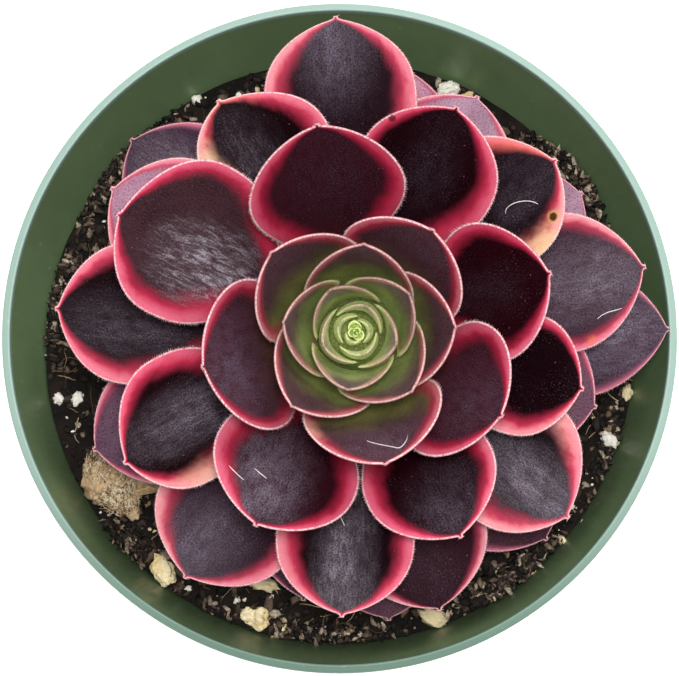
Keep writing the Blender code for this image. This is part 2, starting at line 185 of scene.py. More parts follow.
def add_values(piece, name, values, vector=False):
    """One value for each point of a piece: a number, a colour in linear light, or a vector."""
    values = np.asarray(values, np.float32)
    kind, field = "FLOAT", "value"
    if vector:
        kind, field = "FLOAT_VECTOR", "vector"
    elif values.ndim == 2:
        kind, field = "FLOAT_COLOR", "color"
        values = np.column_stack([values, np.ones(len(values), np.float32)])
    attribute = piece.data.attributes.new(name, kind, "POINT")
    attribute.data.foreach_set(field, values.ravel())


class Nodes:
    """A short way to build a material's node tree."""

    def __init__(self, name, roughness, **sockets):
        self.material = bpy.data.materials.new(name)
        self.material.use_nodes = True
        self.tree = self.material.node_tree
        self.shader = self.tree.nodes["Principled BSDF"]
        for socket, value in {"Roughness": roughness, **sockets}.items():
            self.shader.inputs[socket.replace("_", " ")].default_value = value

    def put(self, value, socket):
        """Gives a socket a number, a colour or a vector, or links an output to it."""
        if isinstance(value, tuple):
            socket.default_value = (*value, 1.0) if socket.type == "RGBA" else value
        elif isinstance(value, (int, float)):
            socket.default_value = value
        else:
            self.tree.links.new(value, socket)

    def node(self, kind, inputs=None, **settings):
        made = self.tree.nodes.new(kind)
        for key, value in settings.items():
            setattr(made, key, value)
        for socket, value in (inputs or {}).items():
            self.put(value, made.inputs[socket])
        return made

    def shade(self, **sockets):
        for socket, value in sockets.items():
            self.put(value, self.shader.inputs[socket.replace("_", " ")])

    def attribute(self, name, output="Fac"):
        return self.node("ShaderNodeAttribute", attribute_name=name).outputs[output]

    def coordinates(self, output="Object"):
        return self.node("ShaderNodeTexCoord").outputs[output]

    def axes(self):
        """The place on the object along X, Y and Z, in metres."""
        return self.node("ShaderNodeSeparateXYZ", {"Vector": self.coordinates()}).outputs

    def place(self, scale, source=None):
        """Texture coordinates: the object's own metres or an attribute's millimetres, times a scale."""
        scale = scale if isinstance(scale, tuple) else (scale, scale, scale)
        inputs = {"Vector": source or self.coordinates(), "Scale": scale}
        return self.node("ShaderNodeMapping", inputs).outputs["Vector"]

    def noise(self, scale, detail, roughness=0.55, distortion=0.0, source=None):
        inputs = {"Vector": self.place(scale, source), "Scale": 1.0, "Detail": detail,
                  "Roughness": roughness, "Distortion": distortion}
        return self.node("ShaderNodeTexNoise", inputs).outputs["Fac"]

    def spots(self, scale, source=None):
        """Distance to the nearest of many scattered points."""
        inputs = {"Vector": self.place(scale, source), "Scale": 1.0}
        return self.node("ShaderNodeTexVoronoi", inputs).outputs["Distance"]

    def remap(self, value, low, high, out_low=0.0, out_high=1.0):
        """A value that goes smoothly from one number to another between two limits."""
        inputs = {"Value": value, "From Min": low, "From Max": high, "To Min": out_low, "To Max": out_high}
        return self.node("ShaderNodeMapRange", inputs, interpolation_type="SMOOTHSTEP").outputs["Result"]

    def vector_maths(self, operation, first, second):
        """The number that two vectors give, such as their distance or dot product."""
        return self.node("ShaderNodeVectorMath", {0: first, 1: second}, operation=operation).outputs["Value"]

    def maths(self, operation, first, second):
        return self.node("ShaderNodeMath", {0: first, 1: second}, operation=operation).outputs["Value"]

    def plus(self, first, second):
        return self.maths("ADD", first, second)

    def minus(self, first, second):
        return self.maths("SUBTRACT", first, second)

    def times(self, first, *others):
        for other in others:
            first = self.maths("MULTIPLY", first, other)
        return first

    def mix(self, factor, first, second, blend="MIX"):
        """Two colours mixed; a Mix node's sockets 6 and 7, and its output 2, are its colours."""
        inputs = {"Factor": factor, 6: first, 7: second}
        return self.node("ShaderNodeMix", inputs, data_type="RGBA", blend_type=blend).outputs[2]

    def bump(self, height, strength, distance):
        """Relief of the surface, its distance in millimetres."""
        inputs = {"Height": height, "Strength": strength, "Distance": distance * MM}
        self.shade(Normal=self.node("ShaderNodeBump", inputs).outputs["Normal"])


# ---------------------------------------------------------------- leaf shape


def grown(values, age):
    """A value at an age, with the corners of the table rounded off."""
    return sum(np.interp(age + step, AGES, values) for step in (-0.8, -0.4, 0.0, 0.4, 0.8)) / 5


def leaf_base(age):
    """Radius and height at which a leaf leaves the stem's dome."""
    radius = STEM_RADIUS * (1 - np.exp(-np.maximum(age + 4.0, 0.0) / STEM_TAPER))
    crowding = 2 * HEART_SPACING * np.logaddexp(0, (14 - age) / 2)
    return radius, LOWEST_LEAF + LEAF_SPACING * (OLDEST - age) + crowding


def on_midrib(age, share):
    """Radius, height and slope at a share of the arc that leaves of this age follow, and its length."""
    base_radius, base_height = leaf_base(age)
    run = grown(TIP_RADIUS, age) - grown(FLARE, age) - base_radius
    rise = grown(TIP_HEIGHT, age) - base_height
    arch = np.radians(grown(ARCH, age))
    length = np.hypot(run, rise) * (arch / 2) / np.sin(arch / 2)
    start = np.arctan2(rise, run) + arch / 2
    bend = arch / length
    slope = start - bend * share * length
    radius = base_radius + (np.sin(start) - np.sin(slope)) / bend
    height = base_height + (np.cos(slope) - np.cos(start)) / bend
    return radius, height, slope, length


def leaf_share(age):
    """How much of its midrib a leaf has, so that its tip lies at its own reach."""
    if age not in REACH:
        return 1.0
    wanted = grown(TIP_RADIUS, age) - grown(FLARE, age) + REACH[age]
    low, high = 0.3, 1.7
    for _ in range(40):
        middle = (low + high) / 2
        if on_midrib(float(age), middle)[0] < wanted:
            low = middle
        else:
            high = middle
    return low


def shoulder_share(age):
    """The share of a leaf's length at which it is widest."""
    return float(np.interp(age, *WIDEST_AT))


def half_width(age, along):
    """Half of a leaf's width, measured round the leaf, at shares of its length."""
    widest = grown(WIDTH, age) / 2 * BREADTH.get(age, 1.0)
    base = min(2.4, 0.8 + 0.35 * grown(WIDTH, age) / 2)
    shoulder = shoulder_share(age)
    roundness = ROUNDNESS.get(age, float(np.interp(age, *FULLNESS)))
    rising = base + (widest - base) * ease(along / shoulder) ** np.interp(age, *BASE_HOLLOW)
    past = np.clip((along - shoulder) / (1 - shoulder), 0.0, 1.0)
    return np.where(along < shoulder, rising, widest * (1 - past ** roundness) ** POINT_POWER)


def leaf_surface(age, along, across):
    """Top, bottom and flat coordinates at places on a leaf that points along +X of the plant."""
    share = leaf_share(age)
    length = float(on_midrib(float(age), 1.0)[3]) * share
    point_size = MUCRO * np.interp(age, *POINT_SIZE)
    point_start = 2.2 * point_size
    whole = length + 0.6 * point_size
    blade = np.minimum(along * whole / length, 1.0)
    half = half_width(age, blade) * (1 + LOPSIDED.get(age, 0.0) * across)
    left = (1 - along) * whole
    point_half = 0.22 + 0.9 * (left / point_start) ** 1.6
    half = np.where(left < point_start, np.maximum(half, point_half), half)

    middle_radius = on_midrib(float(age), along * whole / length * share)[0]
    spread = half / np.maximum(middle_radius, 1.0)
    limit = np.radians(np.interp(age, *WRAP_LIMIT))
    turn = across * limit * np.tanh(spread / limit)

    narrow = np.minimum(half / (grown(WIDTH, age) / 2), 1.0)
    folded = age - grown(FOLD, age) * ease(blade / 0.5) * narrow * np.abs(across) ** 1.2
    radius, height, slope, _ = on_midrib(folded, along * whole / length * share)
    radius = radius + grown(FLARE, age) * np.maximum((blade - 0.75) / 0.25, 0.0) ** 2
    height = height + TIP_LIFT.get(age, 0.0) * np.maximum((blade - 0.55) / 0.45, 0.0) ** 1.6

    middle = grown(THICKNESS, age)
    base = grown(BASE_THICKNESS, age)
    thick = np.interp(blade, (0, 0.35, 0.7, 0.92, 1), (base, middle, middle, 0.75 * middle, 0.45))
    margin = np.interp(age, *MARGIN_THICKNESS)
    edge = np.minimum(thick, np.interp(blade, (0, 0.3, 1), (0.7 * base, margin, 0.35)))
    local = edge + (thick - edge) * (1 - across ** 2)
    raised = grown(CUP, age) * np.sin(math.pi * blade) * across ** 2
    belly = grown(BELLY, age) * np.sin(math.pi * blade ** 1.4) * (1 - across ** 2)
    sides = []
    for offset in (raised + belly + 0.4 * local, raised - 0.6 * local):
        out = radius - np.sin(slope) * offset
        up = height + np.cos(slope) * offset
        sides.append(np.stack([out * np.cos(turn), out * np.sin(turn), up], -1))
    flat = np.stack([along * whole, across * half], -1)
    return sides[0], sides[1], flat


def direction(age):
    """Where a leaf points, round the plant's axis."""
    return math.radians(FIRST_DIRECTION + DIVERGENCE * age + SWAY.get(age, 0))


def to_world(points, turn):
    """From a leaf's own frame to the pot's: turned round the plant's axis, leant and set on the soil."""
    points = np.asarray(points, float)
    x, y = spun(points[..., 0], points[..., 1], turn)
    z = points[..., 2]
    return np.stack([STEM_FOOT[0] + x, STEM_FOOT[1] + y * math.cos(LEAN) - z * math.sin(LEAN),
                     SOIL_LEVEL + y * math.sin(LEAN) + z * math.cos(LEAN)], -1)


def outline_distance(flat, border):
    """Distance of each flat point from the leaf's outline, which is open at the leaf's base."""
    start, end = border[:-1], border[1:]
    step = end - start
    size = (step ** 2).sum(-1) + 1e-9
    away = flat[:, None] - start[None]
    share = np.clip((away * step[None]).sum(-1) / size[None], 0, 1)
    nearest = start[None] + share[..., None] * step[None]
    return np.sqrt(((nearest - flat[:, None]) ** 2).sum(-1)).min(1)


# ---------------------------------------------------------------- leaf colours

# Display colours by age, before shade: the blade's base and its dusky outer part, with the shares of the
# leaf's length where the dusk starts and is full; the margin's edge near the base and round the outer part;
# and the deeper flesh between margin and blade, with the margin's width
TONE_AGES = (-2, 1, 4, 7, 10, 14, 17, 20, 25, 30, 34, 40, 48)
BASE_TONE = ((222, 238, 158), (212, 230, 156), (194, 212, 142), (172, 190, 120), (144, 158, 88),
             (122, 124, 66), (92, 46, 36), (52, 6, 12), (26, 3, 8), (26, 4, 9), (60, 26, 38), (70, 40, 52),
             (80, 52, 62))
DUSK_TONE = ((214, 228, 150), (188, 186, 142), (152, 136, 122), (120, 98, 98), (100, 74, 78), (90, 58, 66),
             (68, 30, 42), (38, 6, 14), (22, 5, 10), (23, 7, 13), (74, 50, 64), (84, 60, 74), (92, 64, 76))
DUSK_START = (1.00, 0.86, 0.62, 0.50, 0.46, 0.42, 0.20, 0.10, 0.10, 0.10, 0.10, 0.10, 0.10)
DUSK_FULL = (1.25, 1.10, 0.98, 0.92, 0.84, 0.76, 0.58, 0.45, 0.45, 0.45, 0.45, 0.45, 0.45)
BASE_BLUSH = ((236, 248, 176), (236, 248, 172), (234, 244, 166), (226, 232, 150), (206, 196, 130),
              (180, 112, 82), (150, 48, 60), (140, 16, 40), (140, 18, 42), (160, 44, 66), (206, 100, 120),
              (170, 100, 130), (160, 90, 110))
OUTER_BLUSH = ((206, 216, 152), (192, 186, 140), (186, 152, 128), (190, 136, 126), (208, 128, 130),
               (220, 118, 130), (218, 98, 124), (230, 104, 132), (238, 112, 138), (238, 124, 146),
               (236, 140, 156), (210, 120, 146), (195, 106, 130))
FLESH = ((222, 238, 150), (214, 226, 142), (202, 196, 138), (188, 142, 122), (182, 92, 96), (172, 52, 72),
         (178, 36, 66), (190, 42, 74), (200, 52, 82), (208, 66, 94), (180, 60, 84), (156, 76, 100),
         (140, 82, 102))
MARGIN_WIDTH = (0.7, 1.2, 2.0, 2.7, 3.3, 3.9, 4.4, 5.0, 5.5, 5.5, 3.4, 2.4, 2.0)
PALE_FLESH = (250, 196, 186)

# Ages, then values at them: where the outer part's margin colour starts and how soon it is full, as shares of
# the length; how far from the tip the margin is narrow; and the strength of the pale line along the rim
OUTER_START = ((0, 8, 17), (0.68, 0.55, 0.30))
OUTER_REACH = ((8, 17), (0.30, 0.45))
NARROW_TIP = ((0, 8, 16), (3.8, 6.0, 8.6))
RIM_LINE = ((-2, 5, 11, 16, 30, 48), (0.1, 0.2, 0.5, 0.6, 0.5, 0.3))

# Painted sheen of single leaves, a grey painted reflection of the bright surround: strength, centre along and
# across the leaf, reach along and across, and how far it breaks into silvery streaks of painted highlight
PAINTED_SHEEN = {
    13: (0.08, 0.75, 0.0, 0.22, 0.5, 0.2), 14: (0.20, 0.84, 0.0, 0.24, 0.6, 0.1),
    15: (0.08, 0.80, 0.0, 0.22, 0.6, 0.2), 16: (0.26, 0.80, 0.1, 0.28, 0.7, 0.1),
    17: (0.12, 0.80, 0.0, 0.25, 0.6, 0.2), 18: (0.04, 0.70, 0.0, 0.25, 0.6, 0.1),
    19: (0.50, 0.78, -0.2, 0.30, 0.60, 0.3), 20: (0.05, 0.60, 0.0, 0.25, 0.4, 0.2),
    21: (1.10, 0.58, 0.12, 0.24, 0.52, 0.85), 22: (0.18, 0.86, 0.1, 0.22, 0.6, 0.3),
    23: (0.06, 0.70, 0.0, 0.25, 0.4, 0.2), 24: (0.44, 0.70, -0.15, 0.25, 0.45, 0.45),
    26: (0.22, 0.66, 0.0, 0.30, 0.50, 0.5), 27: (0.56, 0.80, 0.0, 0.32, 0.42, 0.5),
    28: (0.12, 0.80, 0.0, 0.28, 0.5, 0.2), 29: (0.20, 0.72, 0.2, 0.28, 0.5, 0.4),
    30: (0.54, 0.80, 0.0, 0.30, 0.5, 0.4), 31: (0.34, 0.92, 0.05, 0.22, 0.5, 0.2),
    32: (0.34, 0.90, -0.1, 0.26, 0.6, 0.2), 33: (0.42, 0.76, 0.0, 0.32, 0.6, 0.4),
    34: (0.16, 0.80, 0.0, 0.30, 0.6, 0.3), 35: (0.06, 0.80, 0.0, 0.25, 0.6, 0.2),
    36: (0.16, 0.80, 0.0, 0.30, 0.6, 0.3), 37: (0.24, 0.70, 0.0, 0.30, 0.7, 0.3),
    46: (0.60, 0.72, 0.0, 0.30, 0.7, 0.4), 47: (0.62, 0.66, 0.0, 0.30, 0.6, 0.6),
}

# Blade colours of single leaves that are unlike their neighbours in age
FADED_TONE = {
    21: (68, 44, 50), 34: (178, 132, 154), 35: (44, 14, 24), 36: (176, 138, 158), 37: (98, 66, 86),
    38: (116, 82, 98), 40: (84, 56, 72), 41: (174, 138, 158), 43: (72, 44, 54), 44: (186, 134, 154),
    46: (62, 40, 56), 47: (62, 42, 58), 48: (98, 66, 80),
}

# Margins of single leaves: width and paleness of the clockwise side, then of the other side; below zero
# is deeper red. The paleness is partly the margin's own colour and partly painted light and shade: paler on a
# side turned to the light, deeper red on a side in shade
MARGINS = {
    16: (0.9, -0.15, 0.75, -0.2), 17: (0.95, -0.1, 1.0, 0.0), 18: (0.8, -0.6, 0.9, -0.15),
    19: (1.15, 0.05, 0.8, -0.15), 20: (0.85, 0.05, 0.7, -0.55), 21: (0.75, -0.15, 1.05, 0.05),
    22: (0.85, 0.0, 0.9, 0.1), 23: (0.9, -0.1, 0.6, -0.35), 24: (0.75, -0.1, 1.0, 0.35),
    25: (1.0, 0.35, 0.5, -0.35), 26: (0.9, 0.1, 1.15, 0.55), 27: (1.0, 0.25, 0.8, 0.0),
    28: (1.05, 0.5, 0.85, 0.2), 29: (0.9, 0.1, 0.9, 0.1), 30: (1.15, 0.4, 1.0, 0.2),
    31: (0.95, 0.1, 1.1, 0.3), 32: (1.25, 0.35, 1.05, 0.15), 33: (0.8, -0.1, 1.05, 0.25),
    35: (0.9, 0.2, 0.9, 0.2),
}
PLAIN_MARGIN = (1, 0, 1, 0)
NO_PAINTED_SHEEN = (0, 1, 0, 1, 1, 0)


def by_age(values, age):
    """A number or a display colour at an age; colours come back as linear light."""
    table = np.asarray(values, float)
    if table.ndim == 1:
        return float(np.interp(age, TONE_AGES, table))
    return np.array(linear(*(np.interp(age, TONE_AGES, table[:, channel]) for channel in range(3))))


def leaf_paint(age, flat, whole, rim):
    """Attributes for the leaf's skin at flat points: colours by zone, and how far each zone reaches."""
    count = len(flat)

    def all_over(colour):
        return np.tile(colour, (count, 1))

    along = flat[:, 0] / whole
    widest = grown(WIDTH, age) / 2 * BREADTH.get(age, 1.0)
    across = flat[:, 1] / widest
    base = all_over(by_age(BASE_TONE, age))
    tone = all_over(by_age(DUSK_TONE, age))
    start = by_age(DUSK_START, age)
    dusk = (along - start) / (by_age(DUSK_FULL, age) - start) - 0.35 * np.abs(across) ** 2 * (age < 18)
    if age in FADED_TONE:
        tone = all_over(linear(*FADED_TONE[age]))
        base = tone * 0.6

    outer_start = np.interp(age, *OUTER_START)
    outer = ease((along - outer_start) / np.interp(age, *OUTER_REACH))[:, None]
    blush = by_age(BASE_BLUSH, age) * (1 - outer) + by_age(OUTER_BLUSH, age) * outer
    flesh = all_over(by_age(FLESH, age))
    from_tip = np.hypot(flat[:, 0] - whole, flat[:, 1]) / np.interp(age, *NARROW_TIP)
    width = by_age(MARGIN_WIDTH, age) * (1 - 0.90 * np.exp(-from_tip ** 2)) * (1.28 - 0.35 * along)
    # each side's paleness: partly the margin's own colour, partly painted light and shade
    left_width, left_pale, right_width, right_pale = MARGINS.get(age, PLAIN_MARGIN)
    side = ease(flat[:, 1] / 8 + 0.5)
    width = width * (left_width + (right_width - left_width) * side)
    pale = (left_pale + (right_pale - left_pale) * side)[:, None]
    blush = np.where(pale > 0, blush + (np.array(linear(*PALE_FLESH)) - blush) * pale,
                     blush + (flesh - blush) * -pale)

    # each leaf's painted sheen: a painted reflection at a place on its blade
    strength, middle, aside, reach_along, reach_across, streaks = PAINTED_SHEEN.get(age, NO_PAINTED_SHEEN)
    gone = ((along - middle) / reach_along) ** 2 + ((across - aside) / reach_across) ** 2
    return {
        "base": base, "tone": tone, "blush": blush, "flesh": flesh, "share": rim / width, "dusk": dusk,
        "sheen": strength * np.maximum(1.2 * np.exp(-gone) - 0.2, 0.0),
        "streaks": np.full(count, streaks), "rim": rim,
        "pale": np.full(count, np.interp(age, *RIM_LINE)),
    }


# ---------------------------------------------------------------- leaf skin

LEAF_STEP = 37.0               # keeps each leaf's noise and marks apart from the next one's
UNDERSIDE_STEP = 500.0         # and its underside's from its top's
GLOSS = 0.03                   # specular level of the bare skin
SHEEN_GLOSS = 0.30               # what full painted sheen adds to it, as real gloss

# Marks on single leaves: age, millimetres along and across, radius, softness, display colour and strength
TINTS = (                      # faded patches of the margin, which the dark blade covers
    (28, 31.5, -10.5, 7.0, 1.0, (250, 214, 160), 0.8), (28, 37.0, 5.0, 9.0, 1.0, (240, 128, 108), 0.6),
    (26, 33.5, 6.5, 6.5, 1.0, (252, 222, 180), 1.0), (26, 40.0, -1.0, 6.5, 1.0, (244, 140, 118), 0.6),
    (14, 27.0, -12.5, 4.5, 1.0, (236, 190, 160), 0.6), (33, 35.3, -10.1, 1.2, 0.8, (232, 120, 84), 0.7),
    (30, 33.0, 10.0, 7.0, 1.0, (248, 190, 180), 0.5), (24, 33.0, 9.0, 7.0, 1.0, (246, 200, 170), 0.6),
)
SPOTS = (                      # small spots over everything
    (28, 35.2, -6.9, 1.3, 0.5, (214, 160, 100), 0.8), (28, 35.2, -6.9, 0.85, 0.4, (58, 30, 16), 0.95),
    (26, 31.2, 5.4, 1.7, 0.8, (236, 196, 104), 0.8), (23, 35.6, 9.0, 0.7, 0.4, (60, 20, 22), 0.8),
)


def leaf_number(age):
    """The number in the names of a leaf's node and piece."""
    return age - YOUNGEST + 1


def spotted(n, skin, flat, ragged, marks, marked):
    """Skin colour with the marks that lie on the given leaves, their edges made uneven by a noise."""
    for age, along, across, radius, softness, colour, strength in marks:
        if age in marked:
            away = n.vector_maths("DISTANCE", flat, (along, across, LEAF_STEP * leaf_number(age)))
            away = n.plus(away, n.times(n.minus(ragged, 0.5), 0.9 * radius))
            near = n.remap(away, radius * (1 - softness), radius, strength, 0.0)
            skin = n.mix(near, skin, linear(*colour))
    return skin


def leaf_material(name, roughness, glow=0.0, marked=()):
    """Leaf skin: pink margin, deep red flesh and dark blade, with a grain of pale hairs and painted glints,
    and a patchy painted sheen, which is a painted reflection; the glow is painted light, an emission that
    stands in for the light young leaves let through, and marked are the ages of leaves with marks."""
    n = Nodes(name, roughness, Specular_IOR_Level=GLOSS)
    flat = n.attribute("flat", "Vector")
    sheen = n.attribute("sheen")
    streaky = n.attribute("streaks")
    clouds = n.noise((0.13, 0.17, 1.0), 3, 0.5, source=flat)
    patches = n.noise((0.40, 0.52, 1.0), 4, 0.55, source=flat)
    creases = n.noise((0.30, 1.35, 1.0), 5, 0.66, 1.0, source=flat)
    grain = n.noise((3.3, 3.3, 1.0), 3, 0.7, source=flat)
    grit = n.minus(grain, 0.5)
    wobble = n.plus(n.times(n.minus(n.plus(clouds, patches), 1.0), 0.42), n.times(grit, 0.22))
    share = n.plus(n.attribute("share"), wobble)

    # The blade: its base and dusk, clouded, with a painted sheen, dark pores, and a velvet of pale hairs and
    # flecks whose bright specks are partly painted glints
    stipple = n.plus(wobble, n.times(grit, 0.9))
    dusk = n.remap(n.plus(n.attribute("dusk"), stipple), 0.0, 1.0)
    tone = n.mix(dusk, n.attribute("base", "Color"), n.attribute("tone", "Color"))
    tone = n.mix(n.remap(clouds, 0.35, 0.65, 0.0, 0.30), tone, (0.25, 0.2, 0.25), "MULTIPLY")
    # painted sheen: a grey painted reflection, patchy and creased, silvery in streaks of painted highlight
    painted_sheen_mask = n.mix(streaky, n.remap(patches, 0.30, 0.64, 0.50, 1.05), n.remap(creases, 0.42, 0.72, 0.0, 1.25))
    painted_sheen_mask = n.times(painted_sheen_mask, n.remap(clouds, 0.36, 0.62, 0.70, 1.20), sheen,
                   n.remap(grain, 0.32, 0.66, 0.45, 1.35))
    tone = n.mix(painted_sheen_mask, tone, n.mix(streaky, linear(136, 120, 146), linear(184, 174, 182)))
    # the glow's painted light also lifts the young leaves' dark pores and pales their velvet
    tone = n.mix(n.remap(grain, 0.32, 0.50 + 0.4 * glow, 0.65, 0.0), tone, (0.12, 0.10, 0.12), "MULTIPLY")
    # velvet of pale hairs and flecks; its bright specks are partly painted glints
    velvet_and_glints = n.times(n.remap(grain, 0.56, 0.74, 0.0, 0.30 + 3.0 * glow),
                     n.remap(clouds, 0.38, 0.62, 0.1, 1.0))
    flecks = n.remap(n.spots((0.8, 0.8, 1.0), flat), 0.05, 0.10, 0.5, 0.0)
    velvet_and_glints = n.maths("MAXIMUM", velvet_and_glints, n.times(flecks, n.remap(patches, 0.5, 0.55)))
    tone = n.mix(velvet_and_glints, tone, linear(176 + 200 * glow, 120 + 420 * glow, 136 + 250 * glow))

    # The margin and the flesh round the blade, and the pale line along the rim
    skin = n.mix(n.remap(share, 0.05, 0.50), n.attribute("blush", "Color"), n.attribute("flesh", "Color"))
    skin = spotted(n, skin, flat, patches, TINTS, marked)
    skin = n.mix(n.maths("POWER", n.remap(share, 0.34, 1.05), 0.62), skin, tone)
    skin = n.mix(n.remap(grain, 0.30, 0.52, 0.30, 0.0), skin, (0.4, 0.25, 0.32), "MULTIPLY")
    skin = n.mix(n.remap(patches, 0.34, 0.50, 0.26, 0.0), skin, (0.7, 0.35, 0.45), "MULTIPLY")
    line = n.times(n.remap(n.attribute("rim"), 0.02, 0.19, 1.3, 0.0), n.attribute("pale"),
                   n.remap(grain, 0.38, 0.58, 0.25, 1.15))
    skin = n.mix(line, skin, linear(250, 226, 224))
    skin = spotted(n, skin, flat, grain, SPOTS, marked)
    # the painted sheen's places also get real gloss
    n.shade(Base_Color=skin, Roughness=n.remap(patches, 0.3, 0.7, roughness - 0.06, roughness + 0.08),
            Specular_IOR_Level=n.plus(n.times(sheen, SHEEN_GLOSS), GLOSS))
    # painted light: young leaves glow with their own skin colour, an emission standing in for light let
    # through them
    if glow:
        n.shade(Emission_Color=skin, Emission_Strength=glow)
    n.bump(n.plus(n.times(creases, 0.7), n.times(grain, 0.3)), 0.5, 0.4)
    return n.material


# ---------------------------------------------------------------- leaves

LANES = 25                     # points across a leaf's top
BEFORE_SHOULDER = 20           # stations up to the widest place
PAST_SHOULDER = 26             # stations from there to the tip
ROUNDING = 0.45                # how far the edge bulges, as a share of its thickness
HAIR_SPACING = 0.42
HAIR_LENGTH = 0.42
HAIR_RADIUS = (0.055, 0.085)
HAIR_ROOT = 0.12               # how deep a hair starts in the leaf
HAIRS_FROM = 0.30              # share of the leaf's rows that have none
HAIRY_AGE = 3
SLOT_AGES = (("leaf_heart", 4), ("leaf_inner", 15), ("leaf_outer", 33), ("leaf_old", OLDEST))


def stations(age):
    """Shares of a leaf's length, closer together where its outline turns in to the tip."""
    shoulder = shoulder_share(age)
    first = np.linspace(0, shoulder, BEFORE_SHOULDER, endpoint=False)
    turned = np.sin(np.linspace(0, math.pi / 2, PAST_SHOULDER)) ** 0.95
    return np.concatenate([first, shoulder + (1 - shoulder) * turned])


def hairs(edge_points, outward, seed):
    """Tiny teeth along a leaf's margin, as closed three-sided spikes; returns points, faces, owner rows."""
    rng = random.Random(seed)
    points = []
    faces = []
    owners = []
    step = np.linalg.norm(np.diff(edge_points, axis=0), axis=1)
    gone = np.concatenate([[0], np.cumsum(step)])
    place = HAIR_SPACING
    while place < gone[-1]:
        row = min(int(np.searchsorted(gone, place)) - 1, len(step) - 1)
        part = (place - gone[row]) / max(step[row], 1e-6)
        root = edge_points[row] * (1 - part) + edge_points[row + 1] * part
        out = unit(outward[row] * (1 - part) + outward[row + 1] * part)
        forward = unit(edge_points[row + 1] - edge_points[row])
        up = np.cross(forward, out)
        way = out + forward * rng.uniform(0.0, 0.5) + up * rng.uniform(-0.3, 0.3)
        tip = root + way * (HAIR_LENGTH * rng.uniform(0.5, 1.2))
        thick = rng.uniform(*HAIR_RADIUS)
        first = len(points)
        for corner in range(3):
            beside, above = around(1.0, 2 * math.pi * corner / 3)
            points.append(root - out * HAIR_ROOT + (forward * beside + up * above) * thick)
            faces.append((first + corner, first + (corner + 1) % 3, first + 3))
        points.append(tip)
        faces.append((first, first + 2, first + 1))
        owners += [row] * 4
        place += HAIR_SPACING * rng.uniform(0.7, 1.35)
    return points, faces, owners


def leaf_faces(rows, size):
    """Faces of a leaf's skin: its rings of points joined, and a cap at each end."""
    faces = ring_faces(0, rows, size)
    for start in (0, (rows - 1) * size):
        for a in range(start, start + LANES - 1):
            b = 2 * start + 2 * LANES - a
            faces.append((a, a + 1, b - 1, b))
        faces.append((start, start + 2 * LANES, start + size - 1))
        faces.append((start + LANES - 1, start + LANES, start + LANES + 1))
    return faces


def build_leaf(age, materials):
    """One leaf's detailed skin, which stands for its CAD node."""
    along = stations(age)
    rows = len(along)
    lanes = np.sin(np.linspace(-math.pi / 2, math.pi / 2, LANES) * 0.93) / math.sin(math.pi / 2 * 0.93)
    places = [grid.ravel() for grid in np.meshgrid(along, lanes, indexing="ij")]
    top, bottom, flat = leaf_surface(age, *places)
    top, bottom = [to_world(side, direction(age)).reshape(rows, LANES, 3) for side in (top, bottom)]
    flat = flat.reshape(rows, LANES, 2)

    rounded = []
    for lane, inner in ((-1, -2), (0, 1)):
        middle = (top[:, lane] + bottom[:, lane]) / 2
        out = unit(middle - (top[:, inner] + bottom[:, inner]) / 2)
        gap = np.linalg.norm(top[:, lane] - bottom[:, lane], axis=1, keepdims=True)
        rounded.append((middle + out * gap * ROUNDING, out))
    ring = np.concatenate([top, rounded[0][0][:, None], bottom[:, ::-1], rounded[1][0][:, None]], axis=1)
    flat_ring = np.concatenate([flat, flat[:, -1:], flat[:, ::-1], flat[:, :1]], axis=1)
    size = ring.shape[1]
    points = list(ring.reshape(-1, 3))
    faces = leaf_faces(rows, size)
    flat_points = flat_ring.reshape(-1, 2)
    rim = outline_distance(flat_points, np.concatenate([flat[:, -1], flat[::-1, 0]]))
    underside = np.zeros((rows, size))
    underside[:, LANES + 1:2 * LANES + 1] = 1
    underside = underside.ravel()

    if age >= HAIRY_AGE:
        begin = int(rows * HAIRS_FROM)
        for side, (edge, out) in enumerate(rounded):
            extra, extra_faces, owners = hairs(edge[begin:], out[begin:], SEED * 1000 + age * 2 + side)
            faces += [tuple(len(points) + corner for corner in face) for face in extra_faces]
            points += extra
            lane = LANES if side == 0 else size - 1
            owned = flat_ring[[begin + owner for owner in owners], lane]
            flat_points = np.concatenate([flat_points, owned])
            rim, underside = [np.append(values, np.zeros(len(owners))) for values in (rim, underside)]

    number = leaf_number(age)
    slot = next(name for name, oldest in SLOT_AGES if age <= oldest)
    piece = mesh_object(f"foliage_{number:02d}", points, faces, materials[slot])
    paint = leaf_paint(age, flat_points, flat[-1, 0, 0], rim)
    # no painted sheen on the underside
    paint["sheen"] = paint["sheen"] * (1 - underside)
    paint["pale"] = paint["pale"] * (1 - underside)
    paint["blush"] = paint["blush"] * (1 - 0.45 * underside[:, None])
    for name, values in paint.items():
        add_values(piece, name, values)
    apart = LEAF_STEP * number + UNDERSIDE_STEP * underside
    add_values(piece, "flat", np.column_stack([flat_points, apart]), vector=True)
    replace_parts(piece, f"leaf_{number:02d}")


def build_leaves():
    materials = {
        # the heart and inner skins glow with painted light
        "leaf_heart": leaf_material("leaf_heart_skin", 0.50, 0.16),
        "leaf_inner": leaf_material("leaf_inner_skin", 0.50, 0.06, (14,)),
        "leaf_outer": leaf_material("leaf_outer_skin", 0.48, marked=(23, 24, 26, 28, 30, 33)),
        "leaf_old": leaf_material("leaf_old_skin", 0.55),
    }
    for age in range(YOUNGEST, OLDEST + 1):
        build_leaf(age, materials)
    return materials


# ---------------------------------------------------------------- the closed bud in the heart

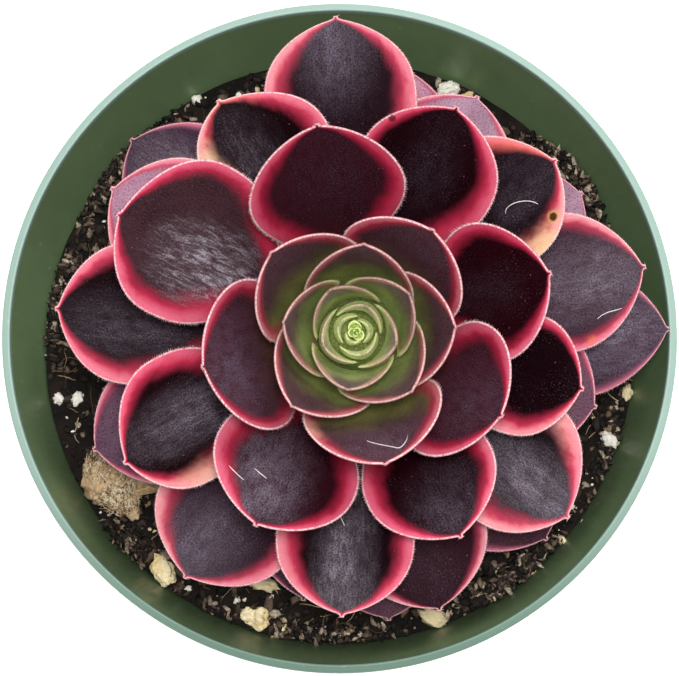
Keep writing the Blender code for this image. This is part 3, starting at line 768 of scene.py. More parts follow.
BUD_LEAVES = (                 # age, tip radius, tip height, half spread in degrees
    (-3, 2.00, 33.9, 92), (-4, 1.62, 33.9, 96), (-5, 1.28, 33.85, 100), (-6, 0.98, 33.8, 104),
    (-7, 0.72, 33.7, 108), (-8, 0.50, 33.6, 112), (-9, 0.30, 33.5, 118),
)
BUD_FOOT = 31.0
BUD_TOP = 33.5
BUD_THICKNESS = 0.13
BUD_ROWS = 9
BUD_COLUMNS = 17
# The heart's floor has painted shade: a sheet under the heart, its colours darkened as the shade between its
# leaves
HEART_FLOOR_RADIUS = 6.6       # a dark green lens under the heart, which closes the gaps between its leaves
HEART_FLOOR_HEIGHTS = (29.4, 28.6, 28.9)   # top, bottom and edge
HEART_FLOOR_SIDES = 40
HEART_FLOOR_SHADE = 0.4
BUD_COLOURS = {
    "base": (206, 228, 134), "tone": (206, 228, 134), "flesh": (214, 234, 146), "blush": (232, 244, 172),
}


def two_sided(first, rows, columns):
    """Faces of a closed shell from two grids of points, the first from the given point on."""
    back = rows * columns
    faces = []
    for row in range(rows):
        for column in range(columns):
            a = first + row * columns + column
            if row < rows - 1 and column < columns - 1:
                b, c, d = a + columns, a + columns + 1, a + 1
                faces += [(a, b, c, d), (a + back, d + back, c + back, b + back)]
            if row < rows - 1 and column in (0, columns - 1):
                faces.append((a, a + columns, a + columns + back, a + back))
            if column < columns - 1 and row in (0, rows - 1):
                faces.append((a, a + 1, a + 1 + back, a + back))
    return faces


def build_bud(material):
    """Tiny leaves rolled round each other inside the youngest leaves, and the heart's floor."""
    points = []
    faces = []
    along, across = np.meshgrid(np.linspace(0, 1, BUD_ROWS), np.linspace(-1, 1, BUD_COLUMNS), indexing="ij")
    pulled_in = np.abs(across) ** 1.4
    for age, tip_radius, tip_height, spread in BUD_LEAVES:
        height = BUD_FOOT + (tip_height - BUD_FOOT - 0.7 * pulled_in) * along
        angle = math.radians(spread) * across * (1 - 0.25 * along ** 3) + direction(age)
        reach = tip_radius * (0.32 + 0.68 * along ** 1.2) * (1 - 0.45 * pulled_in)
        faces += two_sided(len(points), BUD_ROWS, BUD_COLUMNS)
        for inwards in (0.0, BUD_THICKNESS):
            radius = np.maximum(reach - inwards, 0.03 + 0.02 * (BUD_THICKNESS - inwards))
            side = np.stack([radius * np.cos(angle), radius * np.sin(angle), height], -1)
            points += list(side.reshape(-1, 3))
    floor = len(points)
    top, bottom, edge = HEART_FLOOR_HEIGHTS
    points += [(0, 0, top), (0, 0, bottom)]
    for number in range(HEART_FLOOR_SIDES):
        points.append((*around(HEART_FLOOR_RADIUS, 2 * math.pi * number / HEART_FLOOR_SIDES), edge))
        here, there = floor + 2 + number, floor + 2 + (number + 1) % HEART_FLOOR_SIDES
        faces += [(floor, here, there), (floor + 1, there, here)]

    piece = mesh_object("heart_leaflets", to_world(points, 0.0), faces, material)
    points = np.array(points)
    for name, colour in BUD_COLOURS.items():
        shades = np.tile(linear(*colour), (len(points), 1))
        # painted shade: the heart's floor is darker
        shades[floor:] *= HEART_FLOOR_SHADE
        add_values(piece, name, shades)
    add_values(piece, "share", (BUD_TOP - points[:, 2]) / 0.35)
    add_values(piece, "rim", np.full(len(points), 2.0))
    for name in ("dusk", "sheen", "streaks", "pale"):
        add_values(piece, name, np.zeros(len(points)))
    add_values(piece, "flat", points, vector=True)
    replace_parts(piece, "heart_bud")


# ---------------------------------------------------------------- pot

RIM_RADIUS = 57.0
POT_HEIGHT = 100.0
LIP_WIDTH = 1.5
COLLAR_HEIGHT = 12.0
WALL = 1.3
BASE_RADIUS = 42.5
FOOT_WIDTH = 4.0
PAD_RADIUS = 12.0
FOOT_DEPTH = 2.5
DRAIN_HOLES = 6
DRAIN_RADIUS = 4.2
DRAIN_CIRCLE = 27.0
DRAIN_TURN = 1 / 96            # share of a full turn, as in the CAD
SOIL_RADIUS = 52.8
LIP_EDGE = (                   # from the lip's inner edge outwards, and down from the pot's top
    (0.0, 0.45), (0.02, 0.25), (0.10, 0.09), (0.24, 0.01), (0.36, 0.0), (0.46, 0.06), (0.60, 0.13),
    (0.90, 0.27), (1.15, 0.40), (1.32, 0.54), (1.44, 0.74), (1.50, 1.0),
)
TURNED_SIDES = 192


def turned(name, profile, slot, material, sides=TURNED_SIDES):
    """A body of revolution about Z from (radius, height) points; radius 0 closes an end, and a height may
    be a function of X and Y."""
    vertices = []
    rings = []
    angles = np.linspace(0, 2 * math.pi, sides, endpoint=False)
    for radius, height in profile:
        ring_angles = angles if radius else angles[:1]
        rings.append(range(len(vertices), len(vertices) + len(ring_angles)))
        for angle in ring_angles:
            x, y = around(radius, angle)
            vertices.append((x, y, height(x, y) if callable(height) else height))
    faces = []
    for lower, upper in zip(rings, rings[1:]):
        for side in range(sides):
            after = (side + 1) % sides
            below = (lower[0],) if len(lower) == 1 else (lower[side], lower[after])
            above = (upper[0],) if len(upper) == 1 else (upper[after], upper[side])
            faces.append(below + above)
    return mesh_object(name, vertices, faces, material)


def pot_inside(height):
    """The pot's radius inside, at a height."""
    floor = FOOT_DEPTH + WALL
    return float(np.interp(height, (floor, SOIL_LEVEL, POT_HEIGHT - 1.0),
                           (BASE_RADIUS - WALL, SOIL_RADIUS, RIM_RADIUS - LIP_WIDTH)))


def pot_profile():
    """Outline of the wall from the floor inside, over the rolled lip and down to the foot."""
    floor = FOOT_DEPTH + WALL
    inside = [(0, WALL), (PAD_RADIUS - WALL, WALL), (PAD_RADIUS - WALL, floor), (pot_inside(floor), floor)]
    inside += [(pot_inside(height), height) for height in np.linspace(SOIL_LEVEL * 0.5, SOIL_LEVEL, 4)]
    lip_inner = RIM_RADIUS - LIP_WIDTH
    lip_low = POT_HEIGHT - LIP_WIDTH / 2
    inside += [(SOIL_RADIUS + (lip_inner - SOIL_RADIUS) * share, SOIL_LEVEL + (lip_low - SOIL_LEVEL) * share)
               for share in (0.3, 0.6, 0.85, 0.97)]
    lip = [(lip_inner + outwards, POT_HEIGHT - down) for outwards, down in LIP_EDGE]
    collar_low = POT_HEIGHT - COLLAR_HEIGHT
    neck = pot_inside(collar_low) + WALL
    outside = [(RIM_RADIUS - inwards, height) for inwards, height in
               ((0.02, POT_HEIGHT - 2), (0.15, POT_HEIGHT - 4), (0.5, collar_low + 1.2),
                (0.65, collar_low + 0.5), (1.0, collar_low + 0.1), (1.3, collar_low))]
    outside += [(neck + 0.5, collar_low), (neck + 0.1, collar_low - 0.25)]
    outside += [(neck + (BASE_RADIUS + 0.5 - neck) * share, collar_low + (1.2 - collar_low) * share)
                for share in np.linspace(0.05, 1, 8)]
    foot_inner = BASE_RADIUS - FOOT_WIDTH
    under = [(BASE_RADIUS + 0.2, 0.4), (BASE_RADIUS - 0.4, 0), (foot_inner, 0),
             (foot_inner - 0.4, FOOT_DEPTH), (PAD_RADIUS + 0.4, FOOT_DEPTH), (PAD_RADIUS, 0), (0, 0)]
    return inside + lip + outside + under


def pot_material():
    """Green polypropylene: a lip with painted light, paler at the far side; a near wall with painted shade,
    darker towards the soil; fine scuffs and a little dust.
    """
    n = Nodes("pot_plastic_skin", 0.42, Specular_IOR_Level=0.35)
    place = n.axes()
    cloud = n.noise((60, 60, 45), 4, 0.6)
    scuffs = n.noise((900, 900, 60), 3, 0.6)
    body = n.mix(n.remap(cloud, 0.35, 0.7), linear(128, 156, 110), linear(137, 166, 119))
    # painted shade: the inside of the near wall is darkened towards the soil
    inner_side = n.vector_maths("DOT_PRODUCT", n.coordinates(), n.coordinates("Normal"))
    near_soil = n.remap(place["Z"], (SOIL_LEVEL + 2) * MM, (SOIL_LEVEL + 16) * MM, 0.62, 0.0)
    near_side = n.remap(place["Y"], -35 * MM, 10 * MM, 1.0, 0.0)
    inner_side = n.remap(inner_side, -0.02, -0.01, 1.0, 0.0)
    body = n.mix(n.times(inner_side, near_soil, near_side), body, (0.2, 0.2, 0.2), "MULTIPLY")
    # the lip has painted light: its colour grows paler towards the far side, where the light falls
    lip = n.remap(place["Z"], (POT_HEIGHT - 1.6) * MM, (POT_HEIGHT - 0.9) * MM)
    lip_painted_light = n.mix(n.remap(place["Y"], -57 * MM, -12 * MM), linear(114, 142, 126), linear(162, 190, 178))
    body = n.mix(lip, body, lip_painted_light)
    dust = n.remap(n.spots(260), 0.07, 0.12, 1.0, 0.0)
    dusty = n.remap(n.noise(130, 2), 0.56, 0.62)
    body = n.mix(n.times(dust, dusty, 0.55), body, linear(205, 205, 190))
    body = n.mix(n.remap(scuffs, 0.60, 0.75, 0.0, 0.10), body, linear(170, 190, 170))
    n.shade(Base_Color=body, Roughness=n.remap(scuffs, 0.3, 0.7, 0.36, 0.50))
    n.bump(n.plus(cloud, n.times(scuffs, 0.3)), 0.12, 0.3)
    return n.material


def build_pot():
    pot = turned("nursery_pot", pot_profile(), "pot_plastic", pot_material())
    for hole in range(DRAIN_HOLES):
        angle = 2 * math.pi * ((hole + 0.5) / DRAIN_HOLES + DRAIN_TURN)
        rod = bmesh.new()
        bmesh.ops.create_cone(rod, cap_ends=True, segments=40, radius1=DRAIN_RADIUS * MM,
                              radius2=DRAIN_RADIUS * MM, depth=8 * MM)
        mesh = bpy.data.meshes.new("drain")
        rod.to_mesh(mesh)
        rod.free()
        cutter = new_object("drain", mesh)
        cutter.location = Vector((*around(DRAIN_CIRCLE, angle), 4)) * MM
        bpy.context.view_layer.update()
        modifier = pot.modifiers.new("drain", "BOOLEAN")
        modifier.operation = "DIFFERENCE"
        modifier.solver = "EXACT"
        modifier.object = cutter
        with bpy.context.temp_override(object=pot, active_object=pot):
            bpy.ops.object.modifier_apply(modifier=modifier.name)
        bpy.data.objects.remove(cutter, do_unlink=True)
    pot.data.shade_smooth()
    pot.data.set_sharp_from_angle(angle=math.radians(40))
    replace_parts(pot, "pot")


# ---------------------------------------------------------------- soil

SOIL_GAP = 0.3                 # between the soil and the pot
SOIL_SIDES = 600


def soil_height(x, y):
    """The soil's broad surface, the same as the CAD's."""
    lumps = 0.55 * math.sin(0.19 * x + 0.8) * math.cos(0.23 * y - 0.4)
    lumps += 0.35 * math.sin(0.41 * x - 0.33 * y + 1.7)
    heap = 1.2 * math.exp(-((x - STEM_FOOT[0]) ** 2 + (y - STEM_FOOT[1]) ** 2) / 300)
    return SOIL_LEVEL + lumps + heap


def crumbly(x, y):
    """Fine relief of loose potting mix."""
    coarse = noise.fractal(Vector((x * 0.35, y * 0.35, 3.1)), 0.9, 2.1, 5)
    pits = noise.noise(Vector((x * 0.9, y * 0.9, 8.4)))
    return 0.75 * coarse - 0.55 * max(pits, 0.0)


def soil_top(x, y):
    """The soil's surface with its relief, which is calmer at the pot's wall."""
    from_wall = SOIL_RADIUS - 0.3 - math.hypot(x, y)
    return soil_height(x, y) + crumbly(x, y) * min(1.0, max(0.0, from_wall / 2) + 0.3)


def soil_material():
    """Damp, nearly black peat with browner crumbs and pale specks."""
    n = Nodes("potting_mix_skin", 0.92, Specular_IOR_Level=0.25)
    fine = n.noise(900, 5, 0.65)
    broad = n.noise(180, 3, 0.5)
    body = n.mix(n.remap(broad, 0.35, 0.68), linear(13, 10, 9), linear(34, 25, 19))
    body = n.mix(n.remap(fine, 0.58, 0.75, 0.0, 0.5), body, linear(84, 62, 46))
    specks = n.times(n.remap(n.spots(420), 0.05, 0.10, 1.0, 0.0), n.remap(n.noise(300, 1), 0.60, 0.64))
    n.shade(Base_Color=n.mix(specks, body, linear(190, 180, 160)))
    n.bump(n.plus(fine, broad), 0.8, 0.8)
    return n.material


def build_soil():
    """The potting mix as one closed body with a finely broken surface."""
    floor = FOOT_DEPTH + WALL + SOIL_GAP
    pad = PAD_RADIUS - WALL - SOIL_GAP
    profile = [(0, WALL + SOIL_GAP), (pad, WALL + SOIL_GAP), (pad, floor)]
    profile += [(pot_inside(height) - SOIL_GAP, height) for height in (floor, 20, 39.5, 60, SOIL_LEVEL - 1.8)]
    radii = (*np.linspace(SOIL_RADIUS - 0.45, 30, 50), *np.linspace(29, 6, 14), 0)
    profile += [(radius, soil_top) for radius in radii]
    soil = turned("potting_mix", profile, "potting_soil", soil_material(), SOIL_SIDES)
    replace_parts(soil, "soil")


class Heap:
    """Many small closed lumps and threads gathered into one piece, each with its own colour."""

    def __init__(self, number):
        self.rng = random.Random(SEED + number)
        self.points = []
        self.faces = []
        self.colours = []

    def pick(self, colours):
        return linear(*self.rng.choice(colours))

    def lump(self, centre, size, colour, turn=None, rough=0.25, subdivisions=1, frequency=1.6):
        """A rounded, knobbly lump of the given full size."""
        ball, faces = icosphere(subdivisions)
        rng = self.rng
        shift = Vector((rng.uniform(0, 99), rng.uniform(0, 99), rng.uniform(0, 99)))
        swell = np.array([1 + rough * noise.noise(Vector(p) * frequency + shift) * 1.6 for p in ball])
        shaped = ball * swell[:, None] * (np.asarray(size) / 2)
        if turn is None:
            turn = (rng.uniform(-0.6, 0.6), rng.uniform(-0.6, 0.6), rng.uniform(0, 6.28))
        for axis, angle in enumerate(turn):
            i, j = (axis + 1) % 3, (axis + 2) % 3
            shaped[:, i], shaped[:, j] = spun(shaped[:, i], shaped[:, j], angle)
        start = len(self.points)
        self.points += [tuple(p) for p in shaped + np.asarray(centre)]
        self.faces += [tuple(start + corner for corner in face) for face in faces]
        shade = rng.uniform(0.82, 1.15)
        self.colours += [tuple(c * shade for c in colour)] * len(ball)

    def strand(self, path, radius, colour, sides=5):
        """A thin closed thread along a path, tapering to its ends."""
        path = np.asarray(path, float)
        start = len(self.points)
        count = len(path)
        for row, point in enumerate(path):
            ahead = unit(path[min(row + 1, count - 1)] - path[max(row - 1, 0)])
            side = unit(np.cross(ahead, (0.3, 0.1, 0.95)))
            up = np.cross(side, ahead)
            thick = radius * (0.35 + 0.65 * math.sin(math.pi * (row + 0.5) / count) ** 0.5)
            for corner in range(sides):
                beside, above = around(1.0, 2 * math.pi * corner / sides)
                self.points.append(tuple(point + (side * beside + up * above) * thick))
        self.faces += ring_faces(start, count, sides)
        self.faces += [tuple(range(end, end + sides)) for end in (start, start + (count - 1) * sides)]
        self.colours += [tuple(colour)] * (count * sides)

    def piece(self, name, slot, *look):
        """The whole heap as one piece, its look given as to bits_material."""
        made = mesh_object(name, self.points, self.faces, bits_material(*look))
        add_values(made, "tone", self.colours)


def bits_material(name, roughness, scale, contrast, bump, dark=linear(30, 22, 16)):
    """Small bits: each one's own colour, broken by fine grain of the given scale and contrast."""
    n = Nodes(name, roughness, Specular_IOR_Level=0.3)
    grain = n.noise(scale, 4, 0.65)
    n.shade(Base_Color=n.mix(n.remap(grain, 0.35, 0.65, contrast, 0.0), n.attribute("tone", "Color"), dark))
    n.bump(grain, bump, 0.4)
    return n.material


def on_soil(rng, inner=27.0, outer=52.0):
    """A random place on the open ring of soil."""
    radius = math.sqrt(rng.uniform(inner ** 2, outer ** 2))
    return around(radius, rng.uniform(0, 2 * math.pi))


def wander(rng, x, y, length, lift, steps=9):
    """A curved path over the soil, which turns aside where it comes to the wall."""
    heading = rng.uniform(0, 2 * math.pi)
    path = []
    for step in range(steps):
        path.append((x, y, soil_top(x, y) + lift * math.sin(math.pi * step / (steps - 1)) + 0.1))
        heading += rng.uniform(-0.5, 0.5)
        on_x, on_y = around(length / steps, heading)
        if math.hypot(x + on_x, y + on_y) > SOIL_RADIUS - 1.2:
            heading += 1.6
            on_x, on_y = around(length / steps * 0.5, heading)
        x, y = x + on_x, y + on_y
    return path


CRUMBS = 2300
CRUMB_RELIEF = 0.8
CHIPS = 260
FIBRES = 380
SMALL_GRAINS = 300
CRUMB_COLOURS = ((8, 6, 5), (22, 17, 14), (44, 35, 29), (74, 59, 48), (106, 88, 74), (146, 126, 108),
                 (196, 178, 156))
CRUMB_WEIGHTS = (9, 7, 5, 4, 3, 2, 1)
BANK_WEIGHTS = (4, 3, 3, 3, 3, 3, 2)
CHIP_COLOURS = ((96, 72, 50), (128, 98, 70), (66, 48, 34), (160, 128, 96), (40, 28, 20))
FIBRE_COLOURS = ((118, 92, 66), (168, 140, 104), (80, 60, 44), (204, 180, 142))
WHITES = ((244, 240, 230), (236, 222, 188), (250, 248, 242), (226, 204, 156))
BANKS = (                      # direction and half spread in degrees, crumbs of bark, height against the wall
    (34, 17, 1000, 6.5), (140, 20, 420, 2.5), (172, 13, 220, 1.5), (-54, 16, 420, 3.5), (-138, 18, 320, 3.5),
    (-98, 24, 340, 2.2), (-20, 16, 150, 1.0),
)
STONES = (                     # name, centre, size, turn, share sunk and seed, as in the CAD
    ("peat_clump", (-39.9, -24.0), (13.2, 9.4, 6.4), 118, 0.30, 1),
    ("pumice_1", (-31.0, -39.8), (6.3, 3.6, 3.4), 125, 0.30, 2),
    ("pumice_2", (-14.6, -48.0), (5.2, 3.7, 3.2), 165, 0.30, 3),
    ("perlite_lump", (19.6, 46.4), (3.9, 3.2, 3.0), 20, 0.25, 4),
)
CREAM = (246, 228, 182)
WHITE = (248, 244, 234)
TAN = (222, 196, 146)
GRAINS = (                     # x, y, full size, display colour, share sunk into the soil
    (16.4, -47.9, (5.4, 3.0, 2.6), CREAM, 0.3),
    (-10.6, -50.4, (3.0, 2.2, 2.0), CREAM, 0.3),
    (-13.2, -42.3, (2.2, 5.4, 2.2), CREAM, 0.3),
    (23.2, 45.6, (2.4, 1.4, 1.4), TAN, 0.3),
    (-25.8, 44.9, (2.0, 1.8, 1.6), WHITE, 0.25),
    (47.8, -16.8, (3.2, 2.4, 2.2), WHITE, 0.3),
    (51.0, -8.4, (1.8, 3.0, 1.8), CREAM, 0.3),
    (-49.9, -9.4, (2.2, 1.8, 1.6), WHITE, 0.3),
    (-46.6, -9.3, (2.6, 2.0, 1.8), WHITE, 0.3),
    (-51.4, 5.0, (1.6, 1.6, 1.5), CREAM, 0.3),
    (-26.5, -42.9, (1.2, 1.2, 1.2), WHITE, 0.2),
    (-36.3, -32.9, (1.5, 1.4, 1.3), WHITE, 0.2),
    (43.0, -31.5, (1.6, 1.2, 1.2), CREAM, 0.25),
    (41.0, -28.5, (1.2, 1.2, 1.2), WHITE, 0.25),
    (39.4, -34.6, (1.4, 1.8, 1.3), CREAM, 0.25),
    (34.0, -40.0, (1.2, 1.5, 1.2), TAN, 0.25),
)


def near_stone(x, y):
    return any(math.hypot(x - centre[0], y - centre[1]) < 0.55 * (size[0] + size[1]) / 2 + 0.8
               for _, centre, size, *_ in STONES)


def build_crumbs():
    """Crumbs all over the open soil, and bark banked against the wall."""
    heap = Heap(1)
    rng = heap.rng
    for _ in range(CRUMBS):
        x, y = on_soil(rng)
        size = rng.uniform(0.5, 2.0) * rng.choice((0.7, 1.0, 1.3))
        colour = linear(*rng.choices(CRUMB_COLOURS, CRUMB_WEIGHTS)[0])
        if math.hypot(x, y) + size * 0.7 <= SOIL_RADIUS:
            heap.lump((x, y, soil_top(x, y) + size * rng.uniform(0.0, 0.35)),
                      (size * rng.uniform(0.9, 1.6), size * rng.uniform(0.6, 1.0), size * 0.6), colour,
                      rough=CRUMB_RELIEF)
    for heading, spread, count, height in BANKS:
        for _ in range(count):
            share = rng.triangular(-1, 1, 0)
            size = rng.uniform(0.5, 1.6)
            lift = height * (1 - abs(share) ** 1.5) * rng.random()
            level = SOIL_LEVEL + lift
            from_wall = abs(rng.gauss(0, 1.0 + 0.45 * (height - lift)))
            radius = pot_inside(level) - size * 0.75 - from_wall
            x, y = around(radius, math.radians(heading + spread * share))
            if near_stone(x, y):
                continue
            colour = linear(*rng.choices(CRUMB_COLOURS, BANK_WEIGHTS)[0])
            heap.lump((x, y, max(soil_top(x, y) + size * 0.2, level)),
                      (size * rng.uniform(1.0, 1.7), size * rng.uniform(0.5, 0.8), size * 0.45), colour,
                      rough=CRUMB_RELIEF)
    heap.piece("soil_crumbs", "potting_soil", "crumb_skin", 0.80, 1500, 0.6, 0.6)


def build_chips():
    heap = Heap(2)
    rng = heap.rng
    for _ in range(CHIPS):
        x, y = on_soil(rng, outer=50.5)
        size = rng.uniform(1.2, 3.6)
        colour = heap.pick(CHIP_COLOURS)
        heap.lump((x, y, soil_top(x, y) + 0.35), (size, size * rng.uniform(0.25, 0.5), size * 0.2), colour,
                  rough=0.35)
    heap.piece("bark_chips", "potting_soil", "bark_skin", 0.85, 900, 0.6, 0.7)


def build_fibres():
    heap = Heap(3)
    rng = heap.rng
    for _ in range(FIBRES):
        x, y = on_soil(rng, outer=50.0)
        colour = heap.pick(FIBRE_COLOURS)
        path = wander(rng, x, y, rng.uniform(2.5, 8), rng.uniform(0.1, 0.9))
        heap.strand(path, rng.uniform(0.035, 0.11), colour)
    heap.piece("soil_fibres", "potting_soil", "fibre_skin", 0.8, 1500, 0.3, 0.2)


def build_grains():
    """White and cream grains: many small ones, and the larger ones in their places."""
    heap = Heap(4)
    rng = heap.rng
    for _ in range(SMALL_GRAINS):
        x, y = on_soil(rng, outer=51.5)
        size = rng.uniform(0.3, 0.8) if rng.random() < 0.78 else rng.uniform(0.8, 1.6)
        heap.lump((x, y, soil_top(x, y) + size * 0.25), (size * rng.uniform(0.9, 1.5), size, size * 0.8),
                  heap.pick(WHITES), rough=0.4)
    for x, y, size, colour, sunk in GRAINS:
        heap.lump((x, y, soil_top(x, y) + min(size) * (0.5 - sunk)), size, linear(*colour), rough=0.35,
                  subdivisions=3 if max(size) > 2 else 2, frequency=2.2, turn=(0, 0, rng.uniform(0, 6.28)))
    heap.piece("perlite_grains", "perlite", "perlite_skin", 0.88, 1200, 0.35, 0.6, linear(176, 156, 122))


# ---------------------------------------------------------------- the large pieces on the soil

# Slot; light and dark colours, and the colour of painted shade in the pits; scale of the grain; relief and
# its frequency
STONE_LOOKS = {
    "peat_clump": ("dry_peat", ((226, 198, 158), (176, 142, 104), (84, 60, 40)), 700, 1.3, 0.5),
    "pumice_1": ("pumice", ((254, 242, 204), (240, 212, 152), (186, 146, 92)), 600, 0.55, 0.6),
    "pumice_2": ("pumice", ((254, 242, 206), (242, 214, 156), (190, 150, 98)), 600, 0.55, 0.6),
    "perlite_lump": ("perlite", ((250, 248, 240), (232, 226, 208), (180, 166, 140)), 700, 0.3, 1),
}
CLUMP_THREADS = 650
FRAYED_THREADS = 60
THREAD_COLOURS = ((244, 222, 186), (214, 186, 146), (176, 146, 110), (252, 240, 214), (104, 78, 54))
FRAYED_COLOURS = ((238, 212, 172), (206, 172, 126))


def stone_points(size, seed, relief, frequency):
    """The CAD's lump with finer relief."""
    points = []
    ball, faces = icosphere(5)
    for place in ball:
        way = Vector(place).normalized()
        lump = 1 + 0.10 * math.sin(4.1 * way.x + seed) + 0.09 * math.sin(5.3 * way.y + 2 * seed + way.z)
        shaped = Vector((way.x * size[0] / 2, way.y * size[1] / 2, way.z * size[2] / 2)) * lump
        fine = noise.fractal(shaped * frequency + Vector((seed * 7.0, 0, 0)), 0.9, 2.0, 4)
        points.append(shaped + way * fine * relief)
    return points, faces


def stone_place(centre, size, turn, sunk, point):
    """Where a point of a stone lies: turned, and sunk a share of its height into the soil."""
    x, y = spun(point[0], point[1], math.radians(turn))
    return centre[0] + x, centre[1] + y, soil_height(*centre) + size[2] * (0.5 - sunk) + point[2]


def stone_material(name, light, dark, pit_shade, scale):
    n = Nodes(name, 0.85, Specular_IOR_Level=0.3)
    grain = n.noise(scale, 5, 0.65)
    broad = n.noise(scale / 4, 2, 0.5)
    pits = n.remap(n.spots(scale * 1.3), 0.10, 0.22, 1.0, 0.0)
    body = n.mix(n.remap(broad, 0.38, 0.64), light, dark)
    body = n.mix(n.remap(grain, 0.42, 0.62, 0.6, 0.0), body, dark)
    # painted shade in the pits
    n.shade(Base_Color=n.mix(n.times(pits, 0.5), body, pit_shade))
    n.bump(n.minus(grain, n.times(pits, 0.4)), 0.7, 0.5)
    return n.material


def build_stones():
    for name, centre, size, turn, sunk, seed in STONES:
        slot, colours, scale, relief, frequency = STONE_LOOKS[name]
        points, faces = stone_points(size, seed, relief, frequency)
        placed = [stone_place(centre, size, turn, sunk, point) for point in points]
        skin = stone_material(f"{name}_skin", *(linear(*colour) for colour in colours), scale)
        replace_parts(mesh_object(f"{name}_detailed", placed, faces, skin), name)


def build_clump_fibres():
    """Dry threads matted over the peat clump, and the frayed point at its right side."""
    _, centre, size, turn, sunk, _ = STONES[0]
    heap = Heap(5)
    rng = heap.rng
    for _ in range(CLUMP_THREADS):
        theta = rng.uniform(0, 2 * math.pi)
        middle = around(0.97 * math.sqrt(rng.random()), theta)
        heading = rng.uniform(0, 2 * math.pi)
        length = rng.uniform(0.10, 0.38)
        lift = rng.uniform(0.0, 1.2)
        path = []
        for step in np.linspace(-1, 1, 7):
            a, b = np.add(middle, around(step * length, heading))
            shrink = min(1.0, 0.985 / max(math.hypot(a, b), 0.01))
            a, b = a * shrink, b * shrink
            ends = lift * step ** 2
            local = np.array([a, b, math.sqrt(1 - a * a - b * b)]) * size / 2 * (1.0 + 0.05 * ends)
            local[2] += 0.1 + 0.4 * ends
            path.append(stone_place(centre, size, turn, sunk, local))
        colour = heap.pick(THREAD_COLOURS)
        heap.strand(path, rng.uniform(0.04, 0.10), colour)
    root = np.array(stone_place(centre, size, turn, sunk, (0, 0, 0))) + (3.4, -1.2, 1.2)
    for _ in range(FRAYED_THREADS):
        end = root + np.array([rng.uniform(3.2, 5.6), rng.uniform(-0.9, 0.5), rng.uniform(-0.9, 0.2)])
        begin = root + np.array([rng.uniform(-3.0, 0), rng.uniform(-2.2, 2.2), rng.uniform(-0.6, 1.2)])
        path = [begin * (1 - t) + end * t + np.array([0, 0, 0.3 * math.sin(math.pi * t)])
                for t in np.linspace(0, 1, 7)]
        heap.strand(path, rng.uniform(0.10, 0.20), heap.pick(FRAYED_COLOURS))
    heap.piece("clump_fibres", "dry_peat", "clump_fibre_skin", 0.85, 1500, 0.35, 0.2)


LINT = (                       # age of the leaf, places along and across it as shares
    (28, ((0.70, -0.12), (0.73, -0.07), (0.76, -0.10), (0.81, -0.20), (0.83, -0.35))),
    (14, ((0.78, -0.16), (0.80, -0.12), (0.83, 0.0), (0.92, 0.30), (0.90, 0.40), (0.84, 0.43))),
    (19, ((0.83, -0.72), (0.84, -0.45))), (19, ((0.76, -0.35), (0.77, -0.15))),
    (33, ((0.80, -0.62), (0.84, -0.60), (0.89, -0.72))), (27, ((0.62, -0.1), (0.66, -0.02))),
)


def build_lint():
    """A few pale fibres lying on the leaves."""
    heap = Heap(6)
    for age, places in LINT:
        along, across = np.array(places).T
        steps = np.linspace(0, 1, len(places))
        fine = np.linspace(0, 1, 15)
        degree = min(3, len(places) - 1)
        curve = [np.polyval(np.polyfit(steps, values, degree), fine) for values in (along, across)]
        top, _, _ = leaf_surface(age, *curve)
        path = to_world(top, direction(age)) + np.array([0.0, 0.0, 0.22])
        heap.strand(path, 0.085, linear(246, 238, 232))
    heap.piece("leaf_lint", "dry_peat", "lint_skin", 0.7, 1500, 0.1, 0.1)


# ---------------------------------------------------------------- stem


def paint_stem():
    """Bark for the short stem, which stays as it is in the CAD; it is green where the leaves leave it."""
    n = Nodes("stem_bark_skin", 0.8, Specular_IOR_Level=0.25)
    rings = n.noise((120, 120, 900), 4, 0.6)
    body = n.mix(n.remap(rings, 0.35, 0.65), linear(92, 74, 50), linear(134, 112, 80))
    green = n.remap(n.axes()["Z"], (SOIL_LEVEL + 20) * MM, (SOIL_LEVEL + 26) * MM)
    n.shade(Base_Color=n.mix(green, body, linear(150, 176, 92)))
    n.bump(rings, 0.6, 0.4)
    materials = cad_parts["stem"].data.materials
    materials.clear()
    materials.append(n.material)


# ---------------------------------------------------------------- stage, light and camera

CAMERA_TILT = math.radians(7.5)
CAMERA_DISTANCE = 350.0
FOCAL_PIXELS = 2079.0
PICTURE_WIDTH = 679.0
FLOOR_SIZE = 6.0               # metres
FLOOR_GLOW = 0.60
SURROUND = 0.24
LIGHTS = (                     # name, place and size in metres, power in watts, colour
    ("overhead", (0.02, -0.02, 0.95), 0.22, 6.8, (1.0, 1.0, 1.0)),
    ("window", (0.25, 0.60, 0.70), 0.40, 2.6, (1.0, 0.99, 0.97)),
)
LIT_PLACE = (0, 0, 0.1)


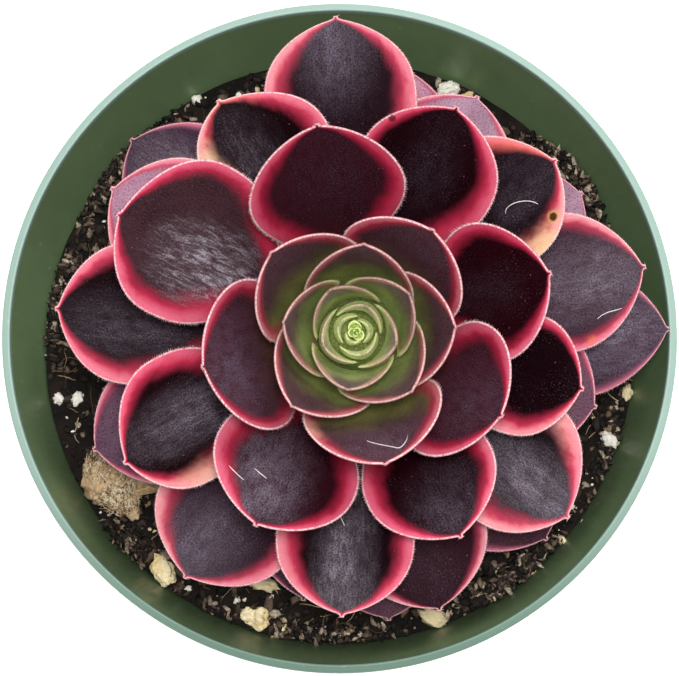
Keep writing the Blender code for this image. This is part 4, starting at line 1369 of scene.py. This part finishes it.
def build_stage():
    """A plain white floor and a pale surround."""
    mesh = bpy.data.meshes.new("floor")
    side = FLOOR_SIZE / 2
    mesh.from_pydata([(-side, -side, 0), (side, -side, 0), (side, side, 0), (-side, side, 0)], [],
                     [(0, 1, 2, 3)])
    n = Nodes("floor_paint", 0.8, Specular_IOR_Level=0.2, Emission_Color=(1, 1, 1, 1),
              Emission_Strength=FLOOR_GLOW)
    clouds = n.remap(n.noise(8, 2), 0.4, 0.6)
    n.shade(Base_Color=n.mix(clouds, linear(250, 250, 250), linear(248, 248, 248)))
    mesh.materials.append(n.material)
    new_object("floor", mesh)

    world = bpy.data.worlds.new("studio")
    bpy.context.scene.world = world
    world.use_nodes = True
    background = world.node_tree.nodes["Background"]
    background.inputs["Color"].default_value = (1.0, 1.0, 1.0, 1.0)
    background.inputs["Strength"].default_value = SURROUND


def aim(item, place, target):
    item.location = place
    item.rotation_mode = "QUATERNION"
    item.rotation_quaternion = (Vector(target) - Vector(place)).to_track_quat("-Z", "Y")


def build_lights():
    for name, place, size, power, colour in LIGHTS:
        data = bpy.data.lights.new(name, "AREA")
        data.shape = "SQUARE"
        data.size = size
        data.energy = power
        data.color = colour
        aim(new_object(name, data), place, LIT_PLACE)


def build_camera():
    data = bpy.data.cameras.new("camera")
    data.sensor_width = 36.0
    data.lens = FOCAL_PIXELS / PICTURE_WIDTH * data.sensor_width
    data.clip_start = 0.01
    camera = new_object("camera", data)
    place = Vector((0, -CAMERA_DISTANCE * math.sin(CAMERA_TILT),
                    POT_HEIGHT + CAMERA_DISTANCE * math.cos(CAMERA_TILT))) * MM
    aim(camera, place, Vector((0, -1.2, POT_HEIGHT)) * MM)
    bpy.context.scene.camera = camera


def main():
    bpy.context.scene.view_settings.view_transform = "Standard"
    build_camera()
    build_stage()
    build_lights()
    skins = build_leaves()
    build_bud(skins["leaf_heart"])
    paint_stem()
    build_pot()
    build_soil()
    build_crumbs()
    build_chips()
    build_fibres()
    build_grains()
    build_stones()
    build_clump_fibres()
    build_lint()
    bpy.context.view_layer.update()


main()
